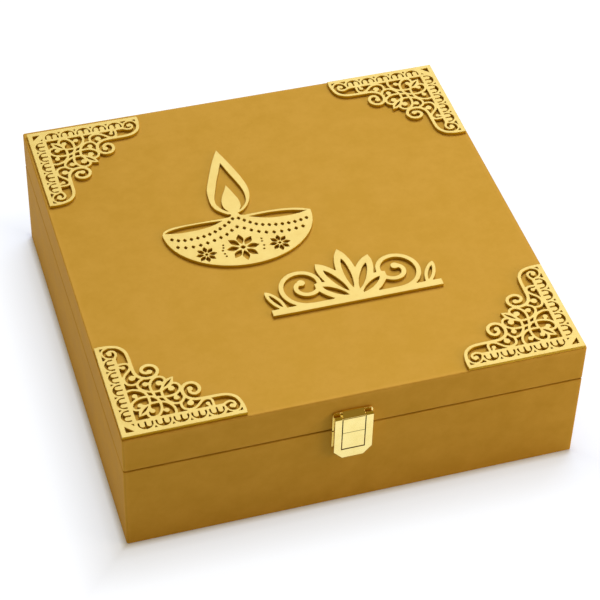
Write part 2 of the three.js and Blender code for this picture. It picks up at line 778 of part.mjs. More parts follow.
// Scrolls at the end of a filigree leg, measured back from its end
function legEnd() {
  const back = (points) => points.map(([gap, v]) => [filigreeLeg - gap, v]);
  return [
    band(spline(back([[0.8, 2.2], [0.8, 5], [1.1, 7.5], [1.9, 10.6], [3.3, 12.9], [5.9, 14.8], [9.4, 15.7],
      [15.9, 15.9], [20.9, 16], [24.1, 16.5], [26.9, 18.2], [28.3, 20.5], [28.7, 23.2], [28, 26],
      [25.9, 28], [23.1, 28.4], [20.6, 27], [19.5, 24.3], [20.1, 21.7], [21.9, 20.3], [23.7, 20.6],
      [24.9, 22.2]])), rimWidth, 21),
    bud(...back([[24.9, 21.6], [24.4, 24.2]]), 1.5),
    band(spline(back([[31.3, 15.6], [31.4, 13.2], [30.5, 11.2], [28.3, 10.1], [26.1, 10.1], [23.9, 11],
      [21.9, 12.9], [20.1, 14.5], [17.9, 15.2], [15.9, 14.3], [15.3, 12.4], [15.4, piercedWidth]])),
      strandWidth, 11),
    bud(...back([[26.1, 16], [26.6, 14.3]]), 1.85),
    bud(...back([[17.3, piercedWidth], [18.1, 11.6]]), 1.25),
    band(spline(back([[10.7, 8.6], [8.7, 9.8], [6.7, 10.2], [5, 9.3], [4.6, 7.4], [5.6, 5.9]])),
      strandWidth, 5),
    bud(...back([[5.4, 6.2], [6.5, 6.9]]), 1.4),
    band(spline(back([[9.9, 6.8], [8.9, 4.6], [7.3, 3.4], [5.4, 3], [3.5, 3.5], [2.3, 4.9], [1.6, 6.6]])),
      ribWidth, 6),
  ];
}

// Interlaced strands and buds of the medallion near the corner, one half of the mirror pair
function medallionHalf() {
  const strands = [
    [[16.6, 14.6], [16.3, 12.4], [17.1, 10.4], [19.2, piercedWidth], [21.6, 10.3], [23.4, 12.4],
      [24.4, 15.2], [24.5, 18], [24.1, 20.8], [22.9, 22.9]],
    [[22.9, 22.9], [25.2, 22.6], [27.4, 22.1], [29.5, 21.9], [32, 22.1], [34.5, 23.2], [36.4, 25.2],
      [36.9, 27.6], [36, 29.6], [34.2, 30.5], [32.2, 30]],
    [[30.6, piercedWidth], [31, 11.6], [30.7, 13.6], [29.6, 16], [27.8, 17.9], [25.5, 19.1],
      [22.5, 19.4], [19.3, 19.3]],
    [[28.6, 29.6], [27, 27.4], [26.8, 24.6], [27.1, 22], [28, 19.8], [29.6, 17.6], [31.6, 16.2],
      [33.8, 15.9], [35.9, 17], [filigreeLeg - waistGap, 19.4]],
  ];
  return [
    ...strands.map((points) => band(spline(points), strandWidth, points.length - 1)),
    bud([18.2, 16.8], [19.2, 13.9], 1.5),
    bud([24.8, 13.3], [26.4, 12.7], 1.5),
    bud([30.4, 29.2], [32.3, 27], 1.8),
    bud([33.4, 22], [33.3, 19.9], 1.6),
  ];
}

// The same flat shape with its two axes exchanged
function swapped(shape) {
  const { shape: outline, holes } = shape.extractPoints(curveSegments);
  const turned = (points) => points.map(({ x, y }) => new THREE.Vector2(y, x)).reverse();
  const mirrored = new THREE.Shape(turned(outline));
  mirrored.holes = holes.map((hole) => new THREE.Path(turned(hole)));
  return mirrored;
}

// Corner piece: two legs that mirror each other, and two slit leaves on the diagonal
function filigree() {
  const outerBar = rectangle(0, 0, filigreeLeg, outerBarWidth);
  const leg = [outerBar, piercedBand(), ...legEnd(), ...medallionHalf()];
  const diagonal = [
    slitLeaf([19.3, 19.3], [11.4, 11.4], slitLeafWidth, slitWidth, slitMargin, pointedBelly),
    slitLeaf([27.2, 27.2], [35.3, 35.3], slitLeafWidth, slitWidth, slitMargin, pointedBelly),
  ];
  return plate([...leg, ...leg.map(swapped), ...diagonal]);
}

// Lamp drawing in hundredths: across by half the bowl's width, up by its rise or down by its drop
const bowlTop = [
  [-100, 0], [-97, 48], [-88, 85], [-70, 100], [-35, 100], [-12, 98], [-5, 112], [-2, 154],
  [5, 154], [8, 112], [13, 98], [35, 100], [57, 94], [74, 78], [88, 48], [100, 5],
];
const mouths = [
  {
    over: [[-96, 20], [-88, 54], [-70, 74], [-46, 78], [-28, 72], [-18, 63]],
    under: [[-18, 63], [-30, 22], [-46, -4], [-65, -11], [-81, -4], [-96, 20]],
  },
  {
    over: [[18, 61], [35, 69], [51, 67], [70, 50], [83, 24], [95, -2]],
    under: [[95, -2], [83, -22], [70, -30], [51, -22], [39, -4], [28, 28], [18, 61]],
  },
];
const dotLines = [
  [[-90, -13], [-79, -19], [-65, -20], [-46, -18], [-28, -10], [-12, 2], [0, 12], [13, -1],
    [23, -11], [37, -18], [56, -22], [74, -22], [90, -18]],
  [[-86, -33], [-72, -38], [-56, -37], [-37, -32], [-18, -23], [-2, -10], [12, -22],
    [28, -33], [44, -38], [62, -39], [81, -36]],
];
const flowerPlaces = [[-5, -59], [-54, -61], [43, -64]];

// Flame drawing in hundredths of its width and height, from the wick
const flameRing = {
  over: [[0, 0], [-15, 1], [-29, 6], [-40, 12], [-45, 20], [-45, 29], [-41, 42], [-29, 56], [-14, 72],
    [2, 87], [18, 100]],
  under: [[18, 100], [29, 85], [40, 69], [50, 52], [55, 36], [52, 24], [43, 14], [29, 6], [15, 2], [0, 0]],
};
const flameHollow = {
  over: [[2, 4], [-12, 5], [-20, 8], [-28, 13], [-33, 20], [-30, 29], [-21, 40], [-9, 54], [4, 67],
    [15, 79]],
  under: [[15, 79], [24, 63], [33, 49], [40, 36], [41, 24], [36, 15], [26, 9], [16, 5], [2, 4]],
};
const flameDrop = {
  over: [[1, 0], [-13, 6], [-19, 12], [-19, 20], [-12, 29], [-2, 37], [7, 45]],
  under: [[7, 45], [13, 36], [19, 27], [23, 19], [22, 11], [15, 5], [1, 0]],
};

// Drawing points at their real size, from a starting point
function drawn(points, width, height, x = 0, y = 0) {
  return points.map(([across, up]) => [x + across * width / 100, y + up * height / 100]);
}

// Points of a smooth line through others, with one more between each two
function smooth(points) {
  return spline(points).getPoints(2 * (points.length - 1));
}

// Closed outline with a point at both ends, over one side and back under the other
function twoSided({ over, under }, ...place) {
  return [...smooth(drawn(over, ...place)), ...smooth(drawn(under, ...place)).slice(1, -1)];
}

function diamond({ x, y }) {
  return polygon([
    [x - dotLength / 2, y],
    [x, y - dotWidth / 2],
    [x + dotLength / 2, y],
    [x, y + dotWidth / 2],
  ]);
}

// Flower of pointed petals round an eye, cut out of the bowl
function flowerCuts([x, y], { reach, rise }) {
  const petals = Array.from({ length: petalCount }, (unused, index) => {
    const angle = (index / petalCount) * Math.PI * 2;
    const at = (share) => [x + Math.cos(angle) * reach * share, y + Math.sin(angle) * rise * share];
    return new THREE.Path(leafOutline(at(petalStart), at(1), reach * petalSwell, pointedBelly));
  });
  return [...petals, disc(x, y, reach * flowerEye)];
}

function lampBowl() {
  const top = smooth(drawn(bowlTop, bowlHalfWidth, bowlRise));
  const curve = new THREE.EllipseCurve(0, 0, bowlHalfWidth, bowlDrop, 0, Math.PI, true);
  const belly = curve.getPoints(bellySegments);
  const shape = new THREE.Shape([...top, ...belly.slice(1, -1)]);
  mouths.forEach((mouth) => shape.holes.push(new THREE.Path(twoSided(mouth, bowlHalfWidth, bowlRise))));
  dotLines.forEach((line, row) => {
    const dots = spline(drawn(line, bowlHalfWidth, bowlDrop)).getSpacedPoints(dotCounts[row] - 1);
    shape.holes.push(...dots.map(diamond));
  });
  drawn(flowerPlaces, bowlHalfWidth, bowlDrop).forEach((place, index) => {
    shape.holes.push(...flowerCuts(place, flowerSizes[index]));
  });
  return shape;
}

function lampFlame() {
  const place = [flameWidth, flameHeight, wickX, wickHeight];
  const ring = new THREE.Shape(twoSided(flameRing, ...place));
  ring.holes.push(new THREE.Path(twoSided(flameHollow, ...place)));
  return [ring, new THREE.Shape(twoSided(flameDrop, ...place))];
}

// Oil lamp: pierced bowl with two open mouths, and a flame
function lampOrnament() {
  return plate([lampBowl(), ...lampFlame()]);
}

// Spiral band that starts on the bar and winds inward to a bud
function volute(x, way) {
  const points = [];
  for (let step = 0; step <= voluteSteps; step += 1) {
    const share = step / voluteSteps;
    const angle = -Math.PI / 2 + way * share * voluteTurns * Math.PI * 2;
    const reach = voluteRadius + (voluteEye - voluteRadius) * share;
    points.push([x + Math.cos(angle) * reach, voluteRadius + voluteSink + Math.sin(angle) * reach]);
  }
  return [band(spline(points), scrollStroke, voluteSteps), disc(...points[voluteSteps], scrollBudRadius)];
}

// Leaf that grows from the bar at an angle
function barLeaf(x, degrees, length, breadth) {
  const angle = THREE.MathUtils.degToRad(degrees);
  const tip = [x + Math.cos(angle) * length, Math.sin(angle) * length];
  const slit = petalSlit * breadth / petalBreadth;
  return slitLeaf([x, 0], tip, breadth, slit, length * petalMargin, roundBelly);
}

// Scroll ornament: a lotus between two volutes on a plain bar, with a leaf at each end
function scrollOrnament() {
  const half = scrollBarLength / 2;
  const shapes = [rectangle(-half, -scrollBarWidth / 2, half, scrollBarWidth / 2)];
  for (const side of [-1, 1]) {
    shapes.push(...volute(side * volutePlace, side));
    shapes.push(barLeaf(side * endLeafPlace, 90 - side * petalSpread, endLeafLength, endLeafBreadth));
  }
  for (let index = 1 - petalLengths.length; index < petalLengths.length; index += 1) {
    shapes.push(barLeaf(0, 90 + index * petalSpread, petalLengths[Math.abs(index)], petalBreadth));
  }
  return plate(shapes);
}

// Raised ornaments glued on the lid
function lidOrnaments() {
  const ornaments = new THREE.Group();
  ornaments.position.z = lidHeight + glueLine;
  const lamp = piece('lamp_ornament', lampOrnament(), 'ornament');
  lamp.position.set(lampX, lampY, 0);
  const scroll = piece('scroll_ornament', scrollOrnament(), 'ornament');
  scroll.position.set(scrollX, scrollY, 0);
  ornaments.add(lamp, scroll);
  const corners = [
    ['front_left', -1, -1],
    ['front_right', 1, -1],
    ['back_right', 1, 1],
    ['back_left', -1, 1],
  ];
  const corner = filigree();
  corners.forEach(([name, sideX, sideY], quarter) => {
    const { side, end } = filigreeInsets[name];
    const mesh = piece(`filigree_${name}`, corner.clone(), 'ornament');
    mesh.position.set(sideX * (halfWidth - side), sideY * (halfDepth - end), 0);
    mesh.rotation.z = quarter * Math.PI / 2;
    ornaments.add(mesh);
  });
  return ornaments;
}

// Whole box, lid closed
const box = new THREE.Group();
const lid = new THREE.Group();
lid.position.z = lidRise;
lid.add(...lidCarcass(), lidOrnaments());
box.add(baseCarcass(), lid, hinge('left'), hinge('right'), latch());

export default box;
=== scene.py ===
import json
import math

import bmesh
import bpy
import numpy as np
from mathutils import Matrix, Vector


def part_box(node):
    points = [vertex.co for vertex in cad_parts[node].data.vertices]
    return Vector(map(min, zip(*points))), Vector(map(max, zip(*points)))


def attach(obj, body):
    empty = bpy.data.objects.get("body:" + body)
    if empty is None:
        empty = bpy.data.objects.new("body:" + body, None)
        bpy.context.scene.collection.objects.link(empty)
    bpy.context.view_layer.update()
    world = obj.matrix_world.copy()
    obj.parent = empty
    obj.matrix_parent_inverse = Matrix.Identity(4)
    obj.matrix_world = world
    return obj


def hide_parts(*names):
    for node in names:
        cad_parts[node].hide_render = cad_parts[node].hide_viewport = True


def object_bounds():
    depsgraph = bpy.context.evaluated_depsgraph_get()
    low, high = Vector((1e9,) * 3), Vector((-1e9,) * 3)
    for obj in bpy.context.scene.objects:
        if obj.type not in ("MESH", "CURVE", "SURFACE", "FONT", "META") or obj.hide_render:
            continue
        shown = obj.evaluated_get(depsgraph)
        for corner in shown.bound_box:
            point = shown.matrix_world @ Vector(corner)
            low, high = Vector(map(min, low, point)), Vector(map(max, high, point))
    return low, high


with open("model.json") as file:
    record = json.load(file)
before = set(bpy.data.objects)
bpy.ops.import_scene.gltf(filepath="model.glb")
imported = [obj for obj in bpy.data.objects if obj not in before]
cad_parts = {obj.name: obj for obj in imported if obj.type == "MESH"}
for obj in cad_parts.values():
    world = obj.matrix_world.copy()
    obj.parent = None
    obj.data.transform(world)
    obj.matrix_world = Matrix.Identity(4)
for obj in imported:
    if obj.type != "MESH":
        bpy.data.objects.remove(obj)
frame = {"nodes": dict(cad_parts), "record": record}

# Gold gift box for dried fruit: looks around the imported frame, in metres, drawings in millimetres
mm = 0.001
nodes = frame["nodes"]
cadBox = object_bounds()
scene = bpy.context.scene
print("frame loaded:", len(nodes), "nodes")


# Shader maths as plain expressions
class Socket:
    def __init__(self, graph, socket):
        self.graph = graph
        self.socket = socket

    def maths(self, operation, first, second):
        return self.graph.node("ShaderNodeMath", {"operation": operation}, {0: first, 1: second})

    def __add__(self, other):
        return self.maths("ADD", self, other)

    def __radd__(self, other):
        return self.maths("ADD", other, self)

    def __sub__(self, other):
        return self.maths("SUBTRACT", self, other)

    def __rsub__(self, other):
        return self.maths("SUBTRACT", other, self)

    def __mul__(self, other):
        return self.maths("MULTIPLY", self, other)

    def __rmul__(self, other):
        return self.maths("MULTIPLY", other, self)

    def __truediv__(self, other):
        return self.maths("DIVIDE", self, other)

    def __rtruediv__(self, other):
        return self.maths("DIVIDE", other, self)

    def __abs__(self):
        return self.maths("ABSOLUTE", self, 0)


class Graph:
    def __init__(self, tree):
        self.tree = tree
        tree.nodes.clear()

    # Any node: its type, its settings, then the values or links of its sockets
    def node(self, kind, settings=None, inputs=None, output=0):
        made = self.tree.nodes.new(kind)
        for key, value in (settings or {}).items():
            if key == "stops":
                self.setStops(made.color_ramp, value)
            else:
                setattr(made, key, value)
        for key, value in (inputs or {}).items():
            if isinstance(value, Socket):
                self.tree.links.new(value.socket, made.inputs[key])
            else:
                made.inputs[key].default_value = value
        return Socket(self, made.outputs[output]) if made.outputs else None

    def setStops(self, ramp, stops):
        while len(ramp.elements) < len(stops):
            ramp.elements.new(1)
        for element, (place, value) in zip(ramp.elements, stops):
            element.position = place
            element.color = (value, value, value, 1)

    def place(self):
        return self.node("ShaderNodeTexCoord", output="Object")

    def parts(self, vector):
        split = self.node("ShaderNodeSeparateXYZ", None, {0: vector})
        outputs = split.socket.node.outputs
        return [Socket(self, outputs[axis]) for axis in range(3)]

    def noise(self, vector, size, detail, rough, squash=(1, 1, 1)):
        scaled = self.node("ShaderNodeVectorMath", {"operation": "MULTIPLY"}, {0: vector, 1: squash})
        return self.node("ShaderNodeTexNoise", None,
                         {"Vector": scaled, "Scale": 1 / size, "Detail": detail, "Roughness": rough})

    def ramp(self, value, stops):
        return self.node("ShaderNodeValToRGB", {"stops": stops}, {0: value})

    def mix(self, factor, first, second):
        return self.node("ShaderNodeMix", {"data_type": "RGBA"}, {0: factor, 6: first, 7: second}, 2)

    def least(self, first, second):
        return self.node("ShaderNodeMath", {"operation": "MINIMUM"}, {0: first, 1: second})

    def bump(self, height, distance, strength):
        return self.node("ShaderNodeBump", None,
                         {"Height": height, "Distance": distance, "Strength": strength})


def linear(red, green, blue):
    bend = [c / 12.92 if c <= 0.04045 else ((c + 0.055) / 1.055) ** 2.4 for c in (red, green, blue)]
    return (*bend, 1)


def makeMaterial(name, surface):
    material = bpy.data.materials.new(name)
    material.use_nodes = True
    graph = Graph(material.node_tree)
    graph.node("ShaderNodeOutputMaterial", None, {"Surface": surface(graph)})
    return material


def principled(graph, inputs):
    return graph.node("ShaderNodeBsdfPrincipled", None, inputs)


# Satin gold wrapping of base and lid
wrap = {
    "gold": linear(0.752, 0.598, 0.236),
    "dark": linear(0.718, 0.566, 0.205),
    "pale": linear(0.830, 0.660, 0.300),
    "sheen": (1.0, 0.66, 0.16, 1),
    "cloudSize": 0.018,
    "cloudStops": [(0.36, 0), (0.64, 1)],
    "fleckSize": 0.0022,
    "fleckStops": [(0.60, 0), (0.74, 1)],
    "fleckShare": 0.4,
    "grainSize": 0.00055,
    "grainHeight": 0.00003,
    # Paler band at the corners and edges: partly rubbed wear, partly a painted edge highlight
    "wearAndHighlightWidth": 0.0032,
    "wearAndHighlightPatch": 0.006,
    "wearAndHighlightShare": 0.54,
    "roughness": (0.44, 0.06, 0.08),  # plain, more in the clouds, more in the flecks
}


def wrapSurface(graph):
    place = graph.place()
    x, y, z = graph.parts(place)
    cloud = graph.ramp(graph.noise(place, wrap["cloudSize"], 4, 0.65), wrap["cloudStops"])
    fleck = graph.ramp(graph.noise(place, wrap["fleckSize"], 3, 0.7), wrap["fleckStops"])
    colour = graph.mix(cloud, wrap["dark"], wrap["gold"])
    colour = graph.mix(fleck * wrap["fleckShare"], colour, wrap["dark"])
    # Paler along the upright corners and the edges of the lid's top, in patches: partly rubbed wear,
    # partly a painted highlight on the edges
    half = float(cadBox[1][0])
    gapX, gapY = half - abs(x), half - abs(y)
    lidGap = abs(float(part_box("lid_cover")[1][2]) - z)
    rim = graph.least(gapX + gapY, graph.least(gapX, gapY) + lidGap)
    edgeWearAndHighlight = graph.ramp(rim / wrap["wearAndHighlightWidth"], [(0, 1), (1, 0)])
    patchyWearAndHighlight = edgeWearAndHighlight * graph.noise(place, wrap["wearAndHighlightPatch"], 3, 0.6)
    colour = graph.mix(patchyWearAndHighlight * wrap["wearAndHighlightShare"], colour, wrap["pale"])
    grain = graph.noise(place, wrap["grainSize"], 2, 0.6)
    plain, inClouds, inFlecks = wrap["roughness"]
    return principled(graph, {
        "Base Color": colour,
        "Roughness": plain + cloud * inClouds + fleck * inFlecks,
        "Metallic": 0.18,
        "Specular IOR Level": 0.01,
        "Specular Tint": wrap["sheen"],
        "Normal": graph.bump(grain, wrap["grainHeight"], 0.5),
    })


# Satin light gold of the raised ornaments
ornamentPaint = {
    "gold": linear(0.930, 0.862, 0.485),
    "deep": linear(0.905, 0.822, 0.437),
    # Darker colour of the cut sides: partly their own tone, partly painted shade
    "edge": linear(0.77, 0.64, 0.06),
    "cloudSize": 0.012,
    "cloudStops": [(0.35, 0), (0.7, 1)],
    "cutSideShadeStops": [(0.45, 1), (0.8, 0)],
    "grainSize": 0.0009,
    "grainHeight": 0.00003,
    "roughness": (0.38, 0.14),  # plain, more in the grain
}


def ornamentSurface(graph):
    paint = ornamentPaint
    place = graph.place()
    cloud = graph.ramp(graph.noise(place, paint["cloudSize"], 3, 0.6), paint["cloudStops"])
    grain = graph.noise(place, paint["grainSize"], 2, 0.6)
    # Steep cut sides take the darker colour: painted shade on top of the cut edge's own tone
    facing = abs(graph.parts(graph.node("ShaderNodeTexCoord", output="Normal"))[2])
    shadedCutSide = graph.ramp(facing, paint["cutSideShadeStops"])
    colour = graph.mix(shadedCutSide, graph.mix(cloud, paint["deep"], paint["gold"]), paint["edge"])
    plain, inGrain = paint["roughness"]
    return principled(graph, {
        "Base Color": colour,
        "Roughness": plain + grain * inGrain,
        "Metallic": 0.12,
        "Specular IOR Level": 0.2,
        "Normal": graph.bump(grain, paint["grainHeight"], 0.4),
    })


# Polished brass of latch and hinges
brass = {
    "bright": linear(0.975, 0.900, 0.600),
    "warm": linear(0.945, 0.845, 0.500),
    "stainSize": 0.006,
    "stainStops": [(0.4, 0), (0.75, 1)],
    "stainShare": 0.5,
    "scratchSize": 0.0004,
    "scratchDepth": 0.000004,
    "scratchSquash": (1, 1, 0.08),
    "roughness": (0.10, 0.08, 0.05),  # plain, more in stains, more in scratches
}


def brassSurface(graph):
    place = graph.place()
    stain = graph.ramp(graph.noise(place, brass["stainSize"], 3, 0.6), brass["stainStops"])
    scratch = graph.noise(place, brass["scratchSize"], 2, 0.6, brass["scratchSquash"])
    plain, inStain, inScratch = brass["roughness"]
    return principled(graph, {
        "Base Color": graph.mix(stain * brass["stainShare"], brass["bright"], brass["warm"]),
        "Roughness": plain + stain * inStain + scratch * inScratch,
        "Metallic": 1.0,
        "Normal": graph.bump(scratch, brass["scratchDepth"], 0.25),
    })


# Raw fibreboard, only seen where the wrap leaves it bare
board = {
    "brown": linear(0.55, 0.42, 0.28),
    "tan": linear(0.70, 0.57, 0.41),
    "fibreSize": 0.0012,
    "fibreSquash": (1, 1, 2.5),
    "fibreHeight": 0.00008,
}


def boardSurface(graph):
    fibre = graph.noise(graph.place(), board["fibreSize"], 4, 0.7, board["fibreSquash"])
    return principled(graph, {
        "Base Color": graph.mix(fibre, board["brown"], board["tan"]),
        "Roughness": 0.9,
        "Normal": graph.bump(fibre, board["fibreHeight"], 0.5),
    })


# Matt ivory paper of the linings
ivoryPaper = {
    "cream": linear(0.90, 0.84, 0.70),
    "ivory": linear(0.94, 0.89, 0.77),
    "straw": linear(0.83, 0.74, 0.57),
    "cloudSize": 0.03,
    "fibreSize": 0.0009,
    "fibreSquash": (1, 0.35, 1),
    "fibreShare": 0.3,
    "fibreHeight": 0.00006,
    "roughness": (0.8, 0.1),  # plain, more on the fibres
}


def liningSurface(graph):
    paper = ivoryPaper
    place = graph.place()
    fibre = graph.noise(place, paper["fibreSize"], 4, 0.75, paper["fibreSquash"])
    cloud = graph.noise(place, paper["cloudSize"], 3, 0.6)
    colour = graph.mix(cloud, paper["cream"], paper["ivory"])
    plain, onFibres = paper["roughness"]
    return principled(graph, {
        "Base Color": graph.mix(fibre * paper["fibreShare"], colour, paper["straw"]),
        "Roughness": plain + fibre * onFibres,
        "Normal": graph.bump(fibre, paper["fibreHeight"], 0.5),
    })


# Brown paper under the base
brownPaper = {
    "dark": linear(0.30, 0.20, 0.11),
    "brown": linear(0.42, 0.29, 0.17),
    "speck": linear(0.55, 0.41, 0.25),
    "fibreSize": 0.0011,
    "fibreSquash": (0.3, 1, 1),
    "fibreHeight": 0.00007,
    "speckSize": 0.0016,
    "speckStops": [(0.62, 0), (0.7, 1)],
    "speckShare": 0.5,
}


def underSurface(graph):
    paper = brownPaper
    place = graph.place()
    fibre = graph.noise(place, paper["fibreSize"], 4, 0.75, paper["fibreSquash"])
    speck = graph.ramp(graph.noise(place, paper["speckSize"], 2, 0.5), paper["speckStops"])
    colour = graph.mix(fibre, paper["dark"], paper["brown"])
    return principled(graph, {
        "Base Color": graph.mix(speck * paper["speckShare"], colour, paper["speck"]),
        "Roughness": 0.85,
        "Normal": graph.bump(fibre, paper["fibreHeight"], 0.5),
    })


# Gold paper of the dividers, paler along the rubbed top edge
goldPaper = {
    "dark": linear(0.74, 0.55, 0.20),
    "gold": linear(0.80, 0.62, 0.27),
    "pale": linear(0.88, 0.75, 0.47),
    "cloudSize": 0.02,
    "grainSize": 0.0007,
    "grainHeight": 0.00004,
    "rubWidth": 0.0015,
    "rubShare": (0.3, 0.5),  # plain, more in the grain
    "roughness": (0.45, 0.15),  # plain, more in the grain
}


def dividerSurface(graph):
    paper = goldPaper
    place = graph.place()
    depth = float(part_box("divider_long")[1][2]) - graph.parts(place)[2]
    rub = graph.ramp(depth / paper["rubWidth"], [(0, 1), (1, 0)])
    cloud = graph.noise(place, paper["cloudSize"], 3, 0.6)
    grain = graph.noise(place, paper["grainSize"], 3, 0.6)
    share, grainShare = paper["rubShare"]
    colour = graph.mix(cloud, paper["dark"], paper["gold"])
    plain, inGrain = paper["roughness"]
    return principled(graph, {
        "Base Color": graph.mix(rub * (share + grain * grainShare), colour, paper["pale"]),
        "Roughness": plain + grain * inGrain,
        "Metallic": 0.15,
        "Normal": graph.bump(grain, paper["grainHeight"], 0.5),
    })


finishes = {
    "gold_wrap": makeMaterial("satinGoldWrap", wrapSurface),
    "ornament_gold": makeMaterial("lightGoldPaint", ornamentSurface),
    "latch_brass": makeMaterial("polishedBrass", brassSurface),
    "board": makeMaterial("rawBoard", boardSurface),
    "lining": makeMaterial("ivoryPaper", liningSurface),
    "bottom_paper": makeMaterial("brownPaper", underSurface),
    "divider": makeMaterial("dividerPaper", dividerSurface),
}
finishes["hinge_brass"] = finishes["latch_brass"]
for row in frame["record"]["subparts"]:
    node = nodes[row["node"]]
    node.data.materials.clear()
    node.data.materials.append(finishes[row["material_slot"]])
print("finishes set:", len(finishes))


# Flat ornaments are drawn as a distance field on a fine grid, then cut from its outline
class Drawing:
    outside = 9.0  # distance where nothing is drawn

    def __init__(self, low, high, step, fillet):
        self.low = np.array(low, float)
        self.step = step
        self.fillet = fillet
        count = np.ceil((np.array(high) - self.low) / step).astype(int) + 1
        self.xs = self.low[0] + step * np.arange(count[0])
        self.ys = self.low[1] + step * np.arange(count[1])
        self.field = np.full((count[1], count[0]), self.outside)

    # The part of the grid around some points
    def window(self, points, margin):
        points = np.asarray(points, float)
        first = np.floor((points.min(0) - margin - self.low) / self.step).astype(int)
        last = np.ceil((points.max(0) + margin - self.low) / self.step).astype(int) + 1
        first = np.maximum(first, 0)
        rows, columns = slice(first[1], max(last[1], 0)), slice(first[0], max(last[0], 0))
        x, y = np.meshgrid(self.xs[columns], self.ys[rows])
        return (rows, columns), x, y

    def lineDistance(self, points, x, y):
        best = np.full(x.shape, 1e6)
        for (ax, ay), (bx, by) in zip(points[:-1], points[1:]):
            dx, dy = bx - ax, by - ay
            share = np.clip(((x - ax) * dx + (y - ay) * dy) / max(dx * dx + dy * dy, 1e-12), 0, 1)
            best = np.minimum(best, (x - ax - share * dx) ** 2 + (y - ay - share * dy) ** 2)
        return np.sqrt(best)

    def areaDistance(self, points, x, y):
        points = np.asarray(points, float)
        closed = np.vstack([points, points[:1]])
        inside = np.zeros(x.shape, bool)
        for (ax, ay), (bx, by) in zip(closed[:-1], closed[1:]):
            crosses = (ay > y) != (by > y)
            if ay != by:
                inside ^= crosses & (x < ax + (y - ay) * (bx - ax) / (by - ay))
        distance = self.lineDistance(closed, x, y)
        return np.where(inside, -distance, distance)

    def join(self, where, distance):
        field = self.field[where]
        near = np.maximum(self.fillet - np.abs(field - distance), 0)
        self.field[where] = np.minimum(field, distance) - near * near / (4 * self.fillet)

    def stroke(self, points, width):
        where, x, y = self.window(points, width / 2 + 2 * self.fillet)
        self.join(where, self.lineDistance(points, x, y) - width / 2)

    def disc(self, centre, radius):
        where, x, y = self.window([centre], radius + 2 * self.fillet)
        self.join(where, np.hypot(x - centre[0], y - centre[1]) - radius)

    def area(self, points):
        where, x, y = self.window(points, 2 * self.fillet)
        self.join(where, self.areaDistance(points, x, y))

    def cut(self, points):
        where, x, y = self.window(points, 2 * self.fillet)
        self.field[where] = np.maximum(self.field[where], -self.areaDistance(points, x, y))

    def cutDisc(self, centre, radius):
        where, x, y = self.window([centre], radius + 2 * self.fillet)
        distance = np.hypot(x - centre[0], y - centre[1]) - radius
        self.field[where] = np.maximum(self.field[where], -distance)

    # Both halves of a piece that mirrors across its diagonal
    def mirror(self):
        other = self.field.T
        near = np.maximum(self.fillet - np.abs(self.field - other), 0)
        self.field = np.minimum(self.field, other) - near * near / (4 * self.fillet)

    # Closed outlines of the drawing, solid on the left hand
    def outlines(self, tolerance):
        field = np.pad(self.field, 1, constant_values=self.outside)
        solid = field < 0
        code = (solid[:-1, :-1] * 1 + solid[:-1, 1:] * 2 + solid[1:, 1:] * 4 + solid[1:, :-1] * 8)
        follow = {}
        # Sides of a cell that the outline crosses, for each pattern of solid corners
        turns = {1: [(3, 0)], 2: [(0, 1)], 3: [(3, 1)], 4: [(1, 2)], 5: [(3, 0), (1, 2)],
                 6: [(0, 2)], 7: [(3, 2)], 8: [(2, 3)], 9: [(2, 0)], 10: [(0, 1), (2, 3)],
                 11: [(2, 1)], 12: [(1, 3)], 13: [(1, 0)], 14: [(0, 3)]}
        edges = [((0, 0), (0, 1)), ((0, 1), (1, 1)), ((1, 0), (1, 1)), ((0, 0), (1, 0))]
        for row, column in np.argwhere((code > 0) & (code < 15)):
            for start, end in turns[int(code[row, column])]:
                keys = [tuple((row + a, column + b) for a, b in edges[side]) for side in (start, end)]
                follow[keys[1]] = keys[0]
        loops = []
        while follow:
            key, after = follow.popitem()
            loop = [key]
            while after in follow:
                loop.append(after)
                after = follow.pop(after)
            loop.append(after)
            points = np.array([self.crossing(field, key) for key in loop[:-1]])
            loops.append(self.thinned(points, tolerance))
        return [loop for loop in loops if len(loop) > 4]

    def crossing(self, field, key):
        (ra, ca), (rb, cb) = key
        a, b = field[ra, ca], field[rb, cb]
        share = a / (a - b)
        row, column = ra + share * (rb - ra) - 1, ca + share * (cb - ca) - 1
        return self.low[0] + column * self.step, self.low[1] + row * self.step

    # Points that bend the line less than the tolerance go, every other one at a time
    def thinned(self, loop, tolerance):
        for turn in range(8):
            chord = np.roll(loop, -1, 0) - np.roll(loop, 1, 0)
            offset = loop - np.roll(loop, 1, 0)
            away = np.abs(chord[:, 0] * offset[:, 1] - chord[:, 1] * offset[:, 0])
            keep = away > tolerance * np.maximum(np.hypot(chord[:, 0], chord[:, 1]), 1e-9)
            keep[turn % 2::2] = True
            if keep.sum() < 5:
                break
            loop = loop[keep]
        return loop


# Smooth line through points
def throughPoints(points, steps=10):
    points = np.asarray(points, float)
    padded = np.vstack([points[:1], points, points[-1:]])
    t = np.linspace(0, 1, steps, endpoint=False)[:, None]
    line = []
    for a, b, c, d in zip(padded[:-3], padded[1:-2], padded[2:-1], padded[3:]):
        into, out = (c - a) / 2, (d - b) / 2
        cubic, square = 2 * b - 2 * c + into + out, 3 * c - 3 * b - 2 * into - out
        line.append(cubic * t ** 3 + square * t ** 2 + into * t + b)
    return np.vstack([*line, points[-1:]])


def arcPoints(centre, radius, start, end, steps):
    angle = np.radians(np.linspace(start, end, steps))
    return np.column_stack([centre[0] + radius * np.cos(angle), centre[1] + radius * np.sin(angle)])


# Leaf outline from its base to its tip, with shares of length and breadth along the belly
def leafPoints(base, tip, breadth, belly):
    base, tip = np.array(base, float), np.array(tip, float)
    along = tip - base
    across = np.array([along[1], -along[0]]) / np.hypot(*along) * breadth / 2
    sides = []
    for side in (1, -1):
        line = [base, *[base + along * share + across * side * swell for share, swell in belly], tip]
        sides.append(throughPoints(line, 8))
    return np.vstack([sides[0], sides[1][::-1][1:-1]])


